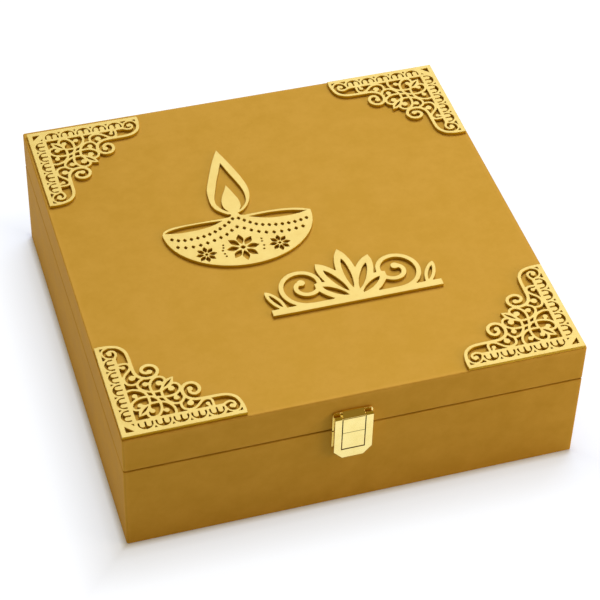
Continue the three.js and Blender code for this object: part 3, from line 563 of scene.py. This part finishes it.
# Plate with softened edges, from closed outlines
def cutPlate(name, outlines, bottom, top, edge):
    data = bpy.data.curves.new(name, "CURVE")
    data.dimensions = "2D"
    data.fill_mode = "BOTH"
    data.extrude = (top - bottom) / 2 - edge * mm
    data.bevel_depth = edge * mm
    data.bevel_resolution = 1
    data.offset = -edge * mm
    for outline in outlines:
        spline = data.splines.new("POLY")
        spline.points.add(len(outline) - 1)
        flat = np.zeros((len(outline), 4))
        flat[:, :2] = outline * mm
        flat[:, 3] = 1
        spline.points.foreach_set("co", flat.ravel())
        spline.use_cyclic_u = True
    shape = bpy.data.objects.new(name + "_outline", data)
    scene.collection.objects.link(shape)
    bpy.context.view_layer.update()
    mesh = bpy.data.meshes.new_from_object(shape.evaluated_get(bpy.context.evaluated_depsgraph_get()))
    bpy.data.objects.remove(shape)
    work = bmesh.new()
    work.from_mesh(mesh)
    bmesh.ops.remove_doubles(work, verts=work.verts, dist=1e-7)
    bmesh.ops.dissolve_degenerate(work, edges=work.edges, dist=1e-7)
    bmesh.ops.recalc_face_normals(work, faces=work.faces)
    bmesh.ops.translate(work, verts=work.verts, vec=(0, 0, (top + bottom) / 2))
    work.to_mesh(mesh)
    work.free()
    mesh.name = name
    mesh.set_sharp_from_angle(angle=math.radians(50))
    # Flat faces stay flat, sides and softened edges are smooth
    mesh.polygons.foreach_set("use_smooth", [abs(face.normal.z) < 0.99 for face in mesh.polygons])
    return mesh


# New piece on its body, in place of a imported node
def addPiece(name, mesh, body, slot, node):
    piece = bpy.data.objects.new(name, mesh)
    scene.collection.objects.link(piece)
    mesh.materials.clear()
    mesh.materials.append(finishes[slot])
    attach(piece, body)
    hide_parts(node)


# Corner filigree, u and v along the two legs from the outer corner
filigree = {
    "step": 0.15,
    "margin": 1,
    "fillet": 0.35,
    "tolerance": 0.008,
    "edge": 0.2,
    "leg": 65.9,
    "outerBar": 2.5,
    "band": 9.5,
    "bandEnd": 9.6,
    "scallops": (5, 13.55, 9.42),  # count, first place and pitch
    "bowl": (6.55, 4.05),  # height and radius
    "lobe": (1.8, 5.35, 1.4),  # offset, height and radius
    "tongueTop": (7.4, 7.7),  # at the horns and in the slit
    "spandrel": (1.5, 1.4),  # width and height
    "cornerCut": 7,
    "innerCut": (6.1, 7.8),  # near and far corners
    "rib": 1.2,
    "strand": 1.55,
    "rim": 1.95,
    "rimEye": ((24.4, 24.2), 1.6),
    "curlEye": ((6.5, 6.9), 1.4),
    "leaf": (4.6, 1.1, 2.2),  # breadth, then its slit's breadth and inset
    "leafBelly": [(0.3, 1), (0.65, 1)],
}


def scallopCuts(drawing):
    f = filigree
    count, first, pitch = f["scallops"]
    hornTop, slitTop = f["tongueTop"]
    side, height, radius = f["lobe"]
    bar = f["outerBar"]
    for u in (first + pitch * np.arange(count)):
        right = arcPoints((u + side, height), radius, 0, -180, 14)
        left = arcPoints((u - side, height), radius, 0, -180, 14)
        slit = side - radius
        drawing.cut(np.vstack([
            arcPoints((u, f["bowl"][0]), f["bowl"][1], 168, 372, 40),
            [(u + side + radius, hornTop)], right, [(u + slit, slitTop), (u - slit, slitTop)],
            left, [(u - side - radius, hornTop)]]))
        middle = u + pitch / 2
        half = f["spandrel"][0] / 2
        tip = bar + f["spandrel"][1]
        drawing.cut([(middle - half, bar), (middle + half, bar), (middle, tip)])


def filigreeDrawing():
    f = filigree
    leg, strand, band, bar, margin = (f[name] for name in ("leg", "strand", "band", "outerBar", "margin"))
    drawing = Drawing((-margin, -margin), (leg + margin, leg + margin), f["step"], f["fillet"])

    # Points measured back from the end of the leg
    def back(points):
        return [(leg - gap, v) for gap, v in points]

    def eye(place, radius):
        drawing.disc(*back([place]), radius)

    def bud(base, tip, radius):
        drawing.stroke([base, tip], strand)
        drawing.disc(tip, radius)

    drawing.area([(0, 0), (leg, 0), (leg, bar), (0, bar)])
    bandLength, cut, (near, far) = leg - f["bandEnd"], f["cornerCut"], f["innerCut"]
    drawing.area([(0, 0), (bandLength, 0), (bandLength, band), (0, band)])
    drawing.cut([(bar, bar), (cut, bar), (bar, cut)])
    drawing.cut([(far, far), (far, near), (near, far)])
    scallopCuts(drawing)
    rim = [(0.8, 2.2), (0.8, 5), (1.1, 7.5), (1.9, 10.6), (3.3, 12.9), (5.9, 14.8), (9.4, 15.7),
           (15.9, 15.9), (20.9, 16), (24.1, 16.5), (26.9, 18.2), (28.3, 20.5), (28.7, 23.2), (28, 26),
           (25.9, 28), (23.1, 28.4), (20.6, 27), (19.5, 24.3), (20.1, 21.7), (21.9, 20.3), (23.7, 20.6),
           (24.9, 22.2), (24.6, 24)]
    drawing.stroke(throughPoints(back(rim)), f["rim"])
    eye(*f["rimEye"])
    scroll = [(31.3, 15.6), (31.4, 13.2), (30.5, 11.2), (28.3, 10.1), (26.1, 10.1), (23.9, 11),
              (21.9, 12.9), (20.1, 14.5), (17.9, 15.2), (15.9, 14.3), (15.3, 12.4), (15.4, band)]
    drawing.stroke(throughPoints(back(scroll)), strand)
    bud(*back([(26.1, 16), (26.6, 14.3)]), 1.85)
    bud(*back([(17.3, band), (18.1, 11.6)]), 1.25)
    curl = [(10.7, 8.6), (8.7, 9.8), (6.7, 10.2), (5, 9.3), (4.6, 7.4), (5.6, 5.9)]
    drawing.stroke(throughPoints(back(curl)), strand)
    eye(*f["curlEye"])
    hook = [(9.9, 6.8), (8.9, 4.6), (7.3, 3.4), (5.4, 3), (3.5, 3.5), (2.3, 4.9), (1.6, 6.6)]
    drawing.stroke(throughPoints(back(hook)), f["rib"])
    strands = [
        [(16.6, 14.6), (16.3, 12.4), (17.1, 10.4), (19.2, band), (21.6, 10.3), (23.4, 12.4),
         (24.4, 15.2), (24.5, 18), (24.1, 20.8), (22.9, 22.9)],
        [(22.9, 22.9), (25.2, 22.6), (27.4, 22.1), (29.5, 21.9), (32, 22.1), (34.5, 23.2),
         (36.4, 25.2), (36.9, 27.6), (36, 29.6), (34.2, 30.5), (32.2, 30)],
        [(30.6, band), (31, 11.6), (30.7, 13.6), (29.6, 16), (27.8, 17.9), (25.5, 19.1), (22.5, 19.4),
         (19.3, 19.3)],
        [(28.6, 29.6), (27, 27.4), (26.8, 24.6), (27.1, 22), (28, 19.8), (29.6, 17.6), (31.6, 16.2),
         (33.8, 15.9), (35.9, 17), (37.3, 19.4)],
    ]
    for points in strands:
        drawing.stroke(throughPoints(points), strand)
    for base, tip, radius in [((18.2, 16.8), (19.2, 13.9), 1.5), ((24.8, 13.3), (26.4, 12.7), 1.5),
                              ((30.4, 29.2), (32.3, 27), 1.8), ((33.4, 22), (33.3, 19.9), 1.6)]:
        bud(base, tip, radius)
    drawing.mirror()
    breadth, slit, inset = f["leaf"]
    for base, tip in [((19.3, 19.3), (11.4, 11.4)), ((27.2, 27.2), (35.3, 35.3))]:
        along = np.array(tip) - base
        along *= inset / np.hypot(*along)
        drawing.area(leafPoints(base, tip, breadth, f["leafBelly"]))
        drawing.cut(leafPoints(base + along, tip - along, slit, f["leafBelly"]))
    return drawing


def makeFiligree():
    f = filigree
    outlines = filigreeDrawing().outlines(f["tolerance"])
    low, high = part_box("filigree_front_left")
    mesh = cutPlate("filigree", outlines, 0, high.z - low.z, f["edge"])
    corners = {"front_left": (0, 0, 0), "front_right": (1, 0, 90),
               "back_right": (1, 1, 180), "back_left": (0, 1, 270)}
    for name, (sideX, sideY, turn) in corners.items():
        low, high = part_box("filigree_" + name)
        place = Vector((high.x if sideX else low.x, high.y if sideY else low.y, low.z))
        copy = mesh.copy()
        copy.transform(Matrix.Translation(place) @ Matrix.Rotation(math.radians(turn), 4, "Z"))
        addPiece("corner_filigree_" + name, copy, "lid", "ornament_gold", "filigree_" + name)
    print("filigree:", len(outlines), "outlines,", len(mesh.polygons), "faces")


makeFiligree()


# Oil lamp, from the middle of its bowl: hundredths of half width and of rise, drop or flame
lamp = {
    "step": 0.15,
    "margin": 2,
    "fillet": 0.3,
    "tolerance": 0.008,
    "edge": 0.2,
    "half": 43.2,
    "drop": 35,
    "rise": 5.4,
    "top": [(-100, 0), (-97, 48), (-88, 85), (-70, 100), (-35, 100), (-12, 98), (-5, 112), (-2, 154),
            (5, 154), (8, 112), (13, 98), (35, 100), (57, 94), (74, 78), (88, 48), (100, 5)],
    "mouths": [
        ([(-96, 20), (-88, 54), (-70, 74), (-46, 78), (-28, 72), (-18, 63)],
         [(-18, 63), (-30, 22), (-46, -4), (-65, -11), (-81, -4), (-96, 20)]),
        ([(18, 61), (35, 69), (51, 67), (70, 50), (83, 24), (95, -2)],
         [(95, -2), (83, -22), (70, -30), (51, -22), (39, -4), (28, 28), (18, 61)]),
    ],
    "dots": [
        (24, [(-90, -13), (-79, -19), (-65, -20), (-46, -18), (-28, -10), (-12, 2), (0, 12), (13, -1),
              (23, -11), (37, -18), (56, -22), (74, -22), (90, -18)]),
        (19, [(-86, -33), (-72, -38), (-56, -37), (-37, -32), (-18, -23), (-2, -10), (12, -22),
              (28, -33), (44, -38), (62, -39), (81, -36)]),
    ],
    "dot": (2.2, 2.6),  # length and breadth
    "flowers": [(-5, -59, 9.3, 10.8), (-54, -61, 6, 6.3), (43, -64, 6.1, 6.5)],  # place, reach and rise
    "petal": (8, 0.24, 0.38),  # count, start and breadth
    "petalBelly": [(0.3, 0.85), (0.62, 1)],
    "eye": 0.14,
    "bead": 0.6,
    "beads": [(-29, -47), (-30, -53), (-32, -59), (-31, -67), (-30, -73),
              (22, -47), (21.5, -53), (22, -63), (20.5, -71)],
    "wick": (0.6, 7.3),
    "flame": (24.3, 57),
    "ring": ([(0, 0), (-15, 1), (-29, 6), (-40, 12), (-45, 20), (-45, 29), (-41, 42), (-29, 56),
              (-14, 72), (2, 87), (18, 100)],
             [(18, 100), (29, 85), (40, 69), (50, 52), (55, 36), (52, 24), (43, 14), (29, 6),
              (15, 2), (0, 0)]),
    "hollow": ([(2, 4), (-12, 5), (-20, 8), (-28, 13), (-33, 20), (-30, 29), (-21, 40), (-9, 54),
                (4, 67), (15, 79)],
               [(15, 79), (24, 63), (33, 49), (40, 36), (41, 24), (36, 15), (26, 9), (16, 5), (2, 4)]),
    "seed": ([(1, 0), (-13, 6), (-19, 12), (-19, 20), (-12, 29), (-2, 37), (7, 45)],
             [(7, 45), (13, 36), (19, 27), (23, 19), (22, 11), (15, 5), (1, 0)]),
}


# Closed outline with a point at both ends, over one side and back under the other
def twoSided(sides, size, start=(0, 0)):
    lines = [throughPoints(np.array(side) / 100 * size + start) for side in sides]
    return np.vstack([lines[0][:-1], lines[1][:-1]])


# Points at even steps along a line
def evenPoints(line, count):
    reach = np.concatenate([[0], np.cumsum(np.hypot(*np.diff(line, axis=0).T))])
    places = np.linspace(0, reach[-1], count)
    return np.column_stack([np.interp(places, reach, line[:, axis]) for axis in (0, 1)])


def lampDrawing():
    p = lamp
    half, drop, rise, margin = p["half"], p["drop"], p["rise"], p["margin"]
    low, high = (-half - margin, -drop - margin), (half + margin, p["wick"][1] + p["flame"][1] + margin)
    drawing = Drawing(low, high, p["step"], p["fillet"])
    top = throughPoints(np.array(p["top"]) / 100 * (half, rise))
    belly = arcPoints((0, 0), 1, 360, 180, 90)[1:-1] * (half, drop)
    drawing.area(np.vstack([top, belly]))
    for mouth in p["mouths"]:
        drawing.cut(twoSided(mouth, (half, rise)))
    drawing.area(twoSided(p["ring"], p["flame"], p["wick"]))
    drawing.cut(twoSided(p["hollow"], p["flame"], p["wick"]))
    drawing.area(twoSided(p["seed"], p["flame"], p["wick"]))
    long, wide = p["dot"]
    for count, row in p["dots"]:
        for x, y in evenPoints(throughPoints(np.array(row) / 100 * (half, drop)), count):
            drawing.cut(leafPoints((x - long / 2, y), (x + long / 2, y), wide, [(0.5, 1)]))
    petals, start, breadth = p["petal"]
    for across, down, reach, tall in p["flowers"]:
        centre = np.array([across * half, down * drop]) / 100
        for angle in np.linspace(0, 2 * math.pi, petals, endpoint=False):
            way = np.array([math.cos(angle) * reach, math.sin(angle) * tall])
            petal = leafPoints(centre + way * start, centre + way, reach * breadth, p["petalBelly"])
            drawing.cut(petal)
        drawing.cutDisc(centre, reach * p["eye"])
    for across, down in p["beads"]:
        drawing.cutDisc((across * half / 100, down * drop / 100), p["bead"])
    return drawing


def makeLamp():
    low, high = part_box("lamp_ornament")
    outlines = lampDrawing().outlines(lamp["tolerance"])
    mesh = cutPlate("lamp", outlines, 0, high.z - low.z, lamp["edge"])
    middle = Vector(((low.x + high.x) / 2, low.y + lamp["drop"] * mm, low.z))
    mesh.transform(Matrix.Translation(middle))
    addPiece("oil_lamp", mesh, "lid", "ornament_gold", "lamp_ornament")
    print("lamp:", len(outlines), "outlines,", len(mesh.polygons), "faces")


makeLamp()


# Lotus between two volutes on a plain bar
lotus = {
    "step": 0.16,
    "margin": 2,
    "fillet": 0.8,
    "tolerance": 0.008,
    "edge": 0.22,
    "bar": (97, 4.6),  # length and height
    "volutePlace": (26, 1),  # out from the middle, and above the bar's middle
    "voluteRadius": 15,
    "voluteEye": 3,
    "voluteTurns": 1.45,
    "stroke": 2.8,
    "bud": 2.3,
    "endLeaf": (40, 19, 6),  # place, length and breadth
    "petals": [40, 35, 26],  # lengths from the middle one outward
    "spread": 26,
    "breadth": 11,
    "belly": [(0.15, 0.6), (0.4, 1), (0.68, 0.92), (0.88, 0.55)],
    "slit": 3.6,
    "slitSpan": (0.2, 0.8),
}


def lotusDrawing():
    p = lotus
    half, tall, margin = p["bar"][0] / 2, p["bar"][1] / 2, p["margin"]
    high = max(p["petals"]) + margin
    drawing = Drawing((-half - margin, -2 * tall), (half + margin, high), p["step"], p["fillet"])
    drawing.area([(-half, -tall), (half, -tall), (half, tall), (-half, tall)])
    share = np.linspace(0, 1, 90)
    out, lift = p["volutePlace"]
    for way in (-1, 1):
        angle = -math.pi / 2 + way * share * p["voluteTurns"] * 2 * math.pi
        reach = p["voluteRadius"] + (p["voluteEye"] - p["voluteRadius"]) * share
        spiral = np.column_stack([way * out + np.cos(angle) * reach,
                                  p["voluteRadius"] + lift + np.sin(angle) * reach])
        drawing.stroke(spiral, p["stroke"])
        drawing.disc(spiral[-1], p["bud"])
    place, length, breadth = p["endLeaf"]
    leaves = [(way * place, 90 - way * p["spread"], length, breadth) for way in (-1, 1)]
    count = len(p["petals"])
    for i in range(1 - count, count):
        leaves.append((0, 90 + i * p["spread"], p["petals"][abs(i)], p["breadth"]))
    slits = []
    for x, degrees, length, breadth in leaves:
        along = length * np.array([math.cos(math.radians(degrees)), math.sin(math.radians(degrees))])
        base = np.array([x, 0])
        drawing.area(leafPoints(base, base + along, breadth, p["belly"]))
        start, end = (base + along * share for share in p["slitSpan"])
        slits.append((start, end, p["slit"] * breadth / p["breadth"]))
    for start, end, breadth in slits:
        drawing.cut(leafPoints(start, end, breadth, p["belly"]))
    return drawing


def makeLotus():
    low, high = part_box("scroll_ornament")
    outlines = lotusDrawing().outlines(lotus["tolerance"])
    mesh = cutPlate("lotus", outlines, 0, high.z - low.z, lotus["edge"])
    mesh.transform(Matrix.Translation(((low.x + high.x) / 2, low.y + lotus["bar"][1] / 2 * mm, low.z)))
    addPiece("lotus_scroll", mesh, "lid", "ornament_gold", "scroll_ornament")
    print("lotus:", len(outlines), "outlines,", len(mesh.polygons), "faces")


makeLotus()


# Round piece turned about Z, from pairs of radius and height
def turned(name, profile, sides):
    work = bmesh.new()
    line = [work.verts.new((radius * mm, 0, height * mm)) for radius, height in profile]
    edges = [work.edges.new(pair) for pair in zip(line[:-1], line[1:])]
    bmesh.ops.spin(work, geom=line + edges, cent=(0, 0, 0), axis=(0, 0, 1),
                   angle=2 * math.pi, steps=sides)
    bmesh.ops.remove_doubles(work, verts=work.verts, dist=1e-7)
    bmesh.ops.recalc_face_normals(work, faces=work.faces)
    mesh = bpy.data.meshes.new(name)
    work.to_mesh(mesh)
    work.free()
    mesh.set_sharp_from_angle(angle=math.radians(40))
    return mesh


# Several meshes in one, each with its own place
def assembled(name, parts):
    work = bmesh.new()
    for mesh, place in parts:
        mesh.transform(place)
        work.from_mesh(mesh)
    whole = bpy.data.meshes.new(name)
    work.to_mesh(whole)
    work.free()
    return whole


# One mesh cut by another
def carved(mesh, cutter):
    body, tool = (bpy.data.objects.new(part.name, part) for part in (mesh, cutter))
    scene.collection.objects.link(body)
    scene.collection.objects.link(tool)
    body.modifiers.new("cut", "BOOLEAN").object = tool
    bpy.context.view_layer.update()
    result = bpy.data.meshes.new_from_object(body.evaluated_get(bpy.context.evaluated_depsgraph_get()))
    for part in (body, tool):
        bpy.data.objects.remove(part)
    return result


def barMesh(length, width, bottom, top):
    work = bmesh.new()
    size = Vector((length, width, top - bottom)) * mm
    middle = Vector((0, 0, (top + bottom) / 2)) * mm
    bmesh.ops.create_cube(work, size=1, matrix=Matrix.Translation(middle) @ Matrix.Diagonal((*size, 1)))
    mesh = bpy.data.meshes.new("bar")
    work.to_mesh(mesh)
    work.free()
    return mesh


# Domed screws with a cross recess, and plain domed nails
fasteners = {
    "sides": 32,
    "screw": [(0, 0.9), (0.5, 0.88), (1, 0.77), (1.4, 0.58), (1.7, 0.33), (1.86, 0.12),
              (1.9, 0.03), (1.86, 0), (0.8, 0), (0.8, -4), (0, -5)],
    "recess": (2.1, 0.42, 0.42, 2),  # length, width, level of its floor and of the cutter's top
    "nail": [(0, 0.6), (0.35, 0.58), (0.7, 0.47), (0.95, 0.26), (1.09, 0.06), (1.07, 0),
             (0.5, 0), (0.5, -4), (0, -5)],
    "turn": 0.7,  # from one fastener to the next
}


def makeFasteners():
    f = fasteners
    screw = turned("screw", f["screw"], f["sides"])
    for turn in (0, 90):
        bar = barMesh(*f["recess"])
        bar.transform(Matrix.Rotation(math.radians(turn), 4, "Z"))
        screw = carved(screw, bar)
    nail = turned("nail", f["nail"], f["sides"])
    made = 0
    for row in frame["record"]["subparts"]:
        name = row["node"]
        kind = "screw" if "_screw_" in name else "nail" if "_nail_" in name else None
        if kind is None:
            continue
        low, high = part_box(name)
        if kind == "screw":  # heads to the back
            seat, facing, mesh = high.y - f["screw"][0][1] * mm, -90, screw.copy()
        else:  # heads to the front
            seat, facing, mesh = low.y + f["nail"][0][1] * mm, 90, nail.copy()
        place = Matrix.Translation(((low.x + high.x) / 2, seat, (low.z + high.z) / 2))
        place = place @ Matrix.Rotation(math.radians(facing), 4, "X")
        mesh.transform(place @ Matrix.Rotation(made * f["turn"], 4, "Z"))
        body = "lid" if "_lid_" in name else "base"
        addPiece("domed_" + name, mesh, body, row["material_slot"], name)
        made += 1
    print("fasteners:", made)


makeFasteners()


# Rolled butt hinges, by distance along the leaf from the pin and out from the back of the box
hinges = {
    "width": 24,
    "leaf": (2.3, 14, 0.1, 1.1),  # inner and outer edge, back and front
    "corner": 1.6,
    "axis": 2.1,
    "barrel": 2,
    "lap": 0.3,  # of the rolled end over the leaf
    "bore": 1.05,
    "pin": 0.9,
    "pinEnds": (0.06, 0.4),  # fall of the crown and of the shoulder
    "latchPinEnds": (0.04, 0.3),
    "pinSides": 24,
    "knuckles": {"base": [(-12, -4.8), (4.8, 12)], "lid": [(-4.5, 4.5)]},
    "stop": (4, 5, 3),  # near and far side, half its width
    "edge": 0.12,
}


def hingeLeaf(name, way, stopTip):
    h = hinges
    half = h["width"] / 2
    inner, outer, low, high = h["leaf"]
    r = h["corner"]
    flat = Matrix(((way, 0, 0, 0), (0, 0, 1, 0), (0, -way, 0, 0), (0, 0, 0, 1)))
    across = Matrix(((0, 0, way, 0), (0, 1, 0, 0), (-way, 0, 0, 0), (0, 0, 0, 1)))
    leaf = np.vstack([[(-half, inner), (half, inner)], arcPoints((half - r, outer - r), r, 0, 90, 10),
                      arcPoints((r - half, outer - r), r, 90, 180, 10)])
    lapped = inner + h["lap"]
    roll = np.vstack([[(lapped, low)], arcPoints((0, h["axis"]), h["barrel"], 270, -30, 40),
                      [(lapped, high)]])
    bore = arcPoints((0, h["axis"]), h["bore"], 0, 350, 36)
    near, far, stopHalf = h["stop"]
    stop = np.array([(near, low), (far, low), (far, stopTip), (near, stopTip)])
    parts = [(cutPlate("leaf", [leaf], low * mm, high * mm, h["edge"]), flat)]
    for start, end in h["knuckles"]["base" if way > 0 else "lid"]:
        parts.append((cutPlate("knuckle", [roll, bore], start * mm, end * mm, h["edge"]), across))
    parts.append((cutPlate("stop", [stop], -stopHalf * mm, stopHalf * mm, h["edge"]), across))
    return assembled(name, parts)


# Round pin along X with softened ends
def roundPin(place, half, radius, ends):
    crown, shoulder = ends
    top = [(radius, half - shoulder), (0.6 * radius, half - crown), (0, half)]
    bottom = [(r, -height) for r, height in top[::-1]]
    pin = turned("pin", bottom + top, hinges["pinSides"])
    pin.transform(place @ Matrix.Rotation(math.radians(90), 4, "Y"))
    return pin


def makeHinges():
    h = hinges
    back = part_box("base_cover")[1].y
    for side in ("left", "right"):
        low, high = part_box("hinge_" + side + "_pin")
        place = Matrix.Translation(((low.x + high.x) / 2, back, (low.z + high.z) / 2))
        for body, way in (("base", 1), ("lid", -1)):
            node = "hinge_" + side + "_" + body + "_leaf"
            mesh = hingeLeaf(node, way, (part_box(node)[1].y - back) / mm)
            mesh.transform(place)
            addPiece("rolled_" + node, mesh, body, "hinge_brass", node)
        node = "hinge_" + side + "_pin"
        axis = place @ Matrix.Translation((0, h["axis"] * mm, 0))
        pin = roundPin(axis, h["width"] / 2, h["pin"], h["pinEnds"])
        addPiece("round_" + node, pin, "base", "hinge_brass", node)
    low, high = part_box("latch_pin")
    half, radius = (high.x - low.x) / 2 / mm, (high.z - low.z) / 2 / mm
    pin = roundPin(Matrix.Translation((low + high) / 2), half, radius, h["latchPinEnds"])
    addPiece("round_latch_pin", pin, "lid", "latch_brass", "latch_pin")
    print("hinges and pins made")


makeHinges()


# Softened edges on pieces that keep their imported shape
softEdges = {
    "widths": {"latch_keeper_plate": 0.28, "latch_lid_plate": 0.22, "latch_hasp": 0.28,
               "divider_long": 0.3, "divider_cross": 0.3},
    "segments": 3,
    "leastBend": 40,
    "flatBend": 1,  # faces that bend less become one
    "weldGap": 1e-6,
}


def softenEdges():
    for name, width in softEdges["widths"].items():
        node = nodes[name]
        weld = node.modifiers.new("weld", "WELD")
        weld.merge_threshold = softEdges["weldGap"]
        flat = node.modifiers.new("flatFaces", "DECIMATE")
        flat.decimate_type = "DISSOLVE"
        flat.angle_limit = math.radians(softEdges["flatBend"])
        bevel = node.modifiers.new("softEdge", "BEVEL")
        bevel.width = width * mm
        bevel.segments = softEdges["segments"]
        bevel.limit_method = "ANGLE"
        bevel.angle_limit = math.radians(softEdges["leastBend"])
    print("edges softened:", len(softEdges["widths"]))


softenEdges()

# Floor, lamps and camera
stage = {
    "floorSize": 60,
    "floorDrop": 0.0002,
    "floorColour": (0.76, 0.875, 0.98, 1),
    # Share of the floor's glow, from the box outward to the reach; less glow near the box paints a shadow
    # around it
    "lift": [(0, 0.12), (0.05, 0.5), (0.14, 0.65), (0.4, 0.87), (1, 0.97)],
    "paintedShadowReach": 0.075,
    "zenith": (0.26, 0.178, 0.022, 1),
    "horizon": (0.29, 0.188, 0.118, 1),
    "skyStops": [(0.25, 0), (0.85, 1)],
    "glow": 1.1,
    # Painted cool tint on the glow near the box, cancelling the warm light bounced off the gold
    "nearPaintedCoolTint": (0.965, 0.988, 1.035, 1),
    "farGlow": (1, 1, 1, 1),
    "glowStops": [(0.1, 0), (0.8, 1)],
}


def floorSurface(graph):
    rays = graph.node("ShaderNodeLightPath").socket.node.outputs
    seen = [Socket(graph, rays["Is " + kind + " Ray"]) for kind in ("Camera", "Glossy", "Transmission")]
    matt = graph.node("ShaderNodeBsdfDiffuse", None, {"Color": stage["floorColour"]})
    x, y, _ = graph.parts(graph.place())
    outward = graph.node("ShaderNodeMath", {"operation": "MAXIMUM"}, {0: abs(x), 1: abs(y)})
    # Distance out from the box: the glow's share and tint ramp with it, a painted shadow and a painted
    # cool tint near the box
    away = (outward - float(cadBox[1][0])) / stage["paintedShadowReach"]
    tint = graph.mix(graph.ramp(away, stage["glowStops"]), stage["nearPaintedCoolTint"], stage["farGlow"])
    glow = graph.node("ShaderNodeEmission", None, {"Color": tint, "Strength": stage["glow"]})
    share = (seen[0] + seen[1] + seen[2]) * graph.ramp(away, stage["lift"])
    return graph.node("ShaderNodeMixShader", None, {0: share, 1: matt, 2: glow})


def makeStage():
    half = stage["floorSize"] / 2
    mesh = bpy.data.meshes.new("floor")
    corners = [(-half, -half, 0), (half, -half, 0), (half, half, 0), (-half, half, 0)]
    mesh.from_pydata(corners, [], [(0, 1, 2, 3)])
    floor = bpy.data.objects.new("floor", mesh)
    floor.location.z = -stage["floorDrop"]
    mesh.materials.append(makeMaterial("paleFloor", floorSurface))
    scene.collection.objects.link(floor)
    world = bpy.data.worlds.new("studio")
    scene.world = world
    world.use_nodes = True
    graph = Graph(world.node_tree)
    height = graph.parts(graph.node("ShaderNodeTexCoord", output="Generated"))[2]
    colour = graph.mix(graph.ramp(height, stage["skyStops"]), stage["horizon"], stage["zenith"])
    sky = graph.node("ShaderNodeBackground", None, {"Color": colour, "Strength": 1.0})
    graph.node("ShaderNodeOutputWorld", None, {"Surface": sky})


# Place, size, power and colour of each lamp
lamps = {
    "key": ((0.72, 1.2, 2.0), (1.76, 1.76), 44.5, (0.97, 1.0, 1.25)),
    "fill": ((0.76, -0.52, 0.3), (0.5, 0.5), 4.5, (1, 0.7, 0.5)),
    "side": ((-1.2, 0.1, 0.3), (0.8, 0.5), 2.9, (1, 0.73, 0.38)),
}
lampAim = (0, 0, 0.04)


def makeLamps():
    for name, (place, size, power, colour) in lamps.items():
        data = bpy.data.lights.new(name, "AREA")
        data.shape = "RECTANGLE"
        data.size, data.size_y = size
        data.energy = power
        data.color = colour
        light = bpy.data.objects.new(name, data)
        light.location = place
        aim = Vector(lampAim) - light.location
        light.rotation_euler = aim.to_track_quat("-Z", "Y").to_euler()
        scene.collection.objects.link(light)


view = {
    "azimuth": -18.02,
    "elevation": 43.85,
    "roll": 1.87,
    "distance": 1.2044,
    "target": (0.00354, -0.00926, 0.038),
    "focalPixels": 2107,
    "framePixels": 600,
    "sensor": 36,
}


def makeCamera():
    az, el, roll = (math.radians(view[name]) for name in ("azimuth", "elevation", "roll"))
    back = Vector((math.sin(az) * math.cos(el), -math.cos(az) * math.cos(el), math.sin(el)))
    right = Vector((0, 0, 1)).cross(back).normalized()
    up = back.cross(right)
    turnedRight = right * math.cos(roll) + up * math.sin(roll)
    turnedUp = up * math.cos(roll) - right * math.sin(roll)
    data = bpy.data.cameras.new("camera")
    data.sensor_width = view["sensor"]
    data.lens = view["focalPixels"] / view["framePixels"] * data.sensor_width
    camera = bpy.data.objects.new("camera", data)
    axes = Matrix((turnedRight, turnedUp, back)).transposed().to_4x4()
    camera.matrix_world = Matrix.Translation(Vector(view["target"]) + back * view["distance"]) @ axes
    scene.collection.objects.link(camera)
    scene.camera = camera


makeStage()
makeLamps()
makeCamera()
scene.view_settings.view_transform = "Standard"
print("stage set")
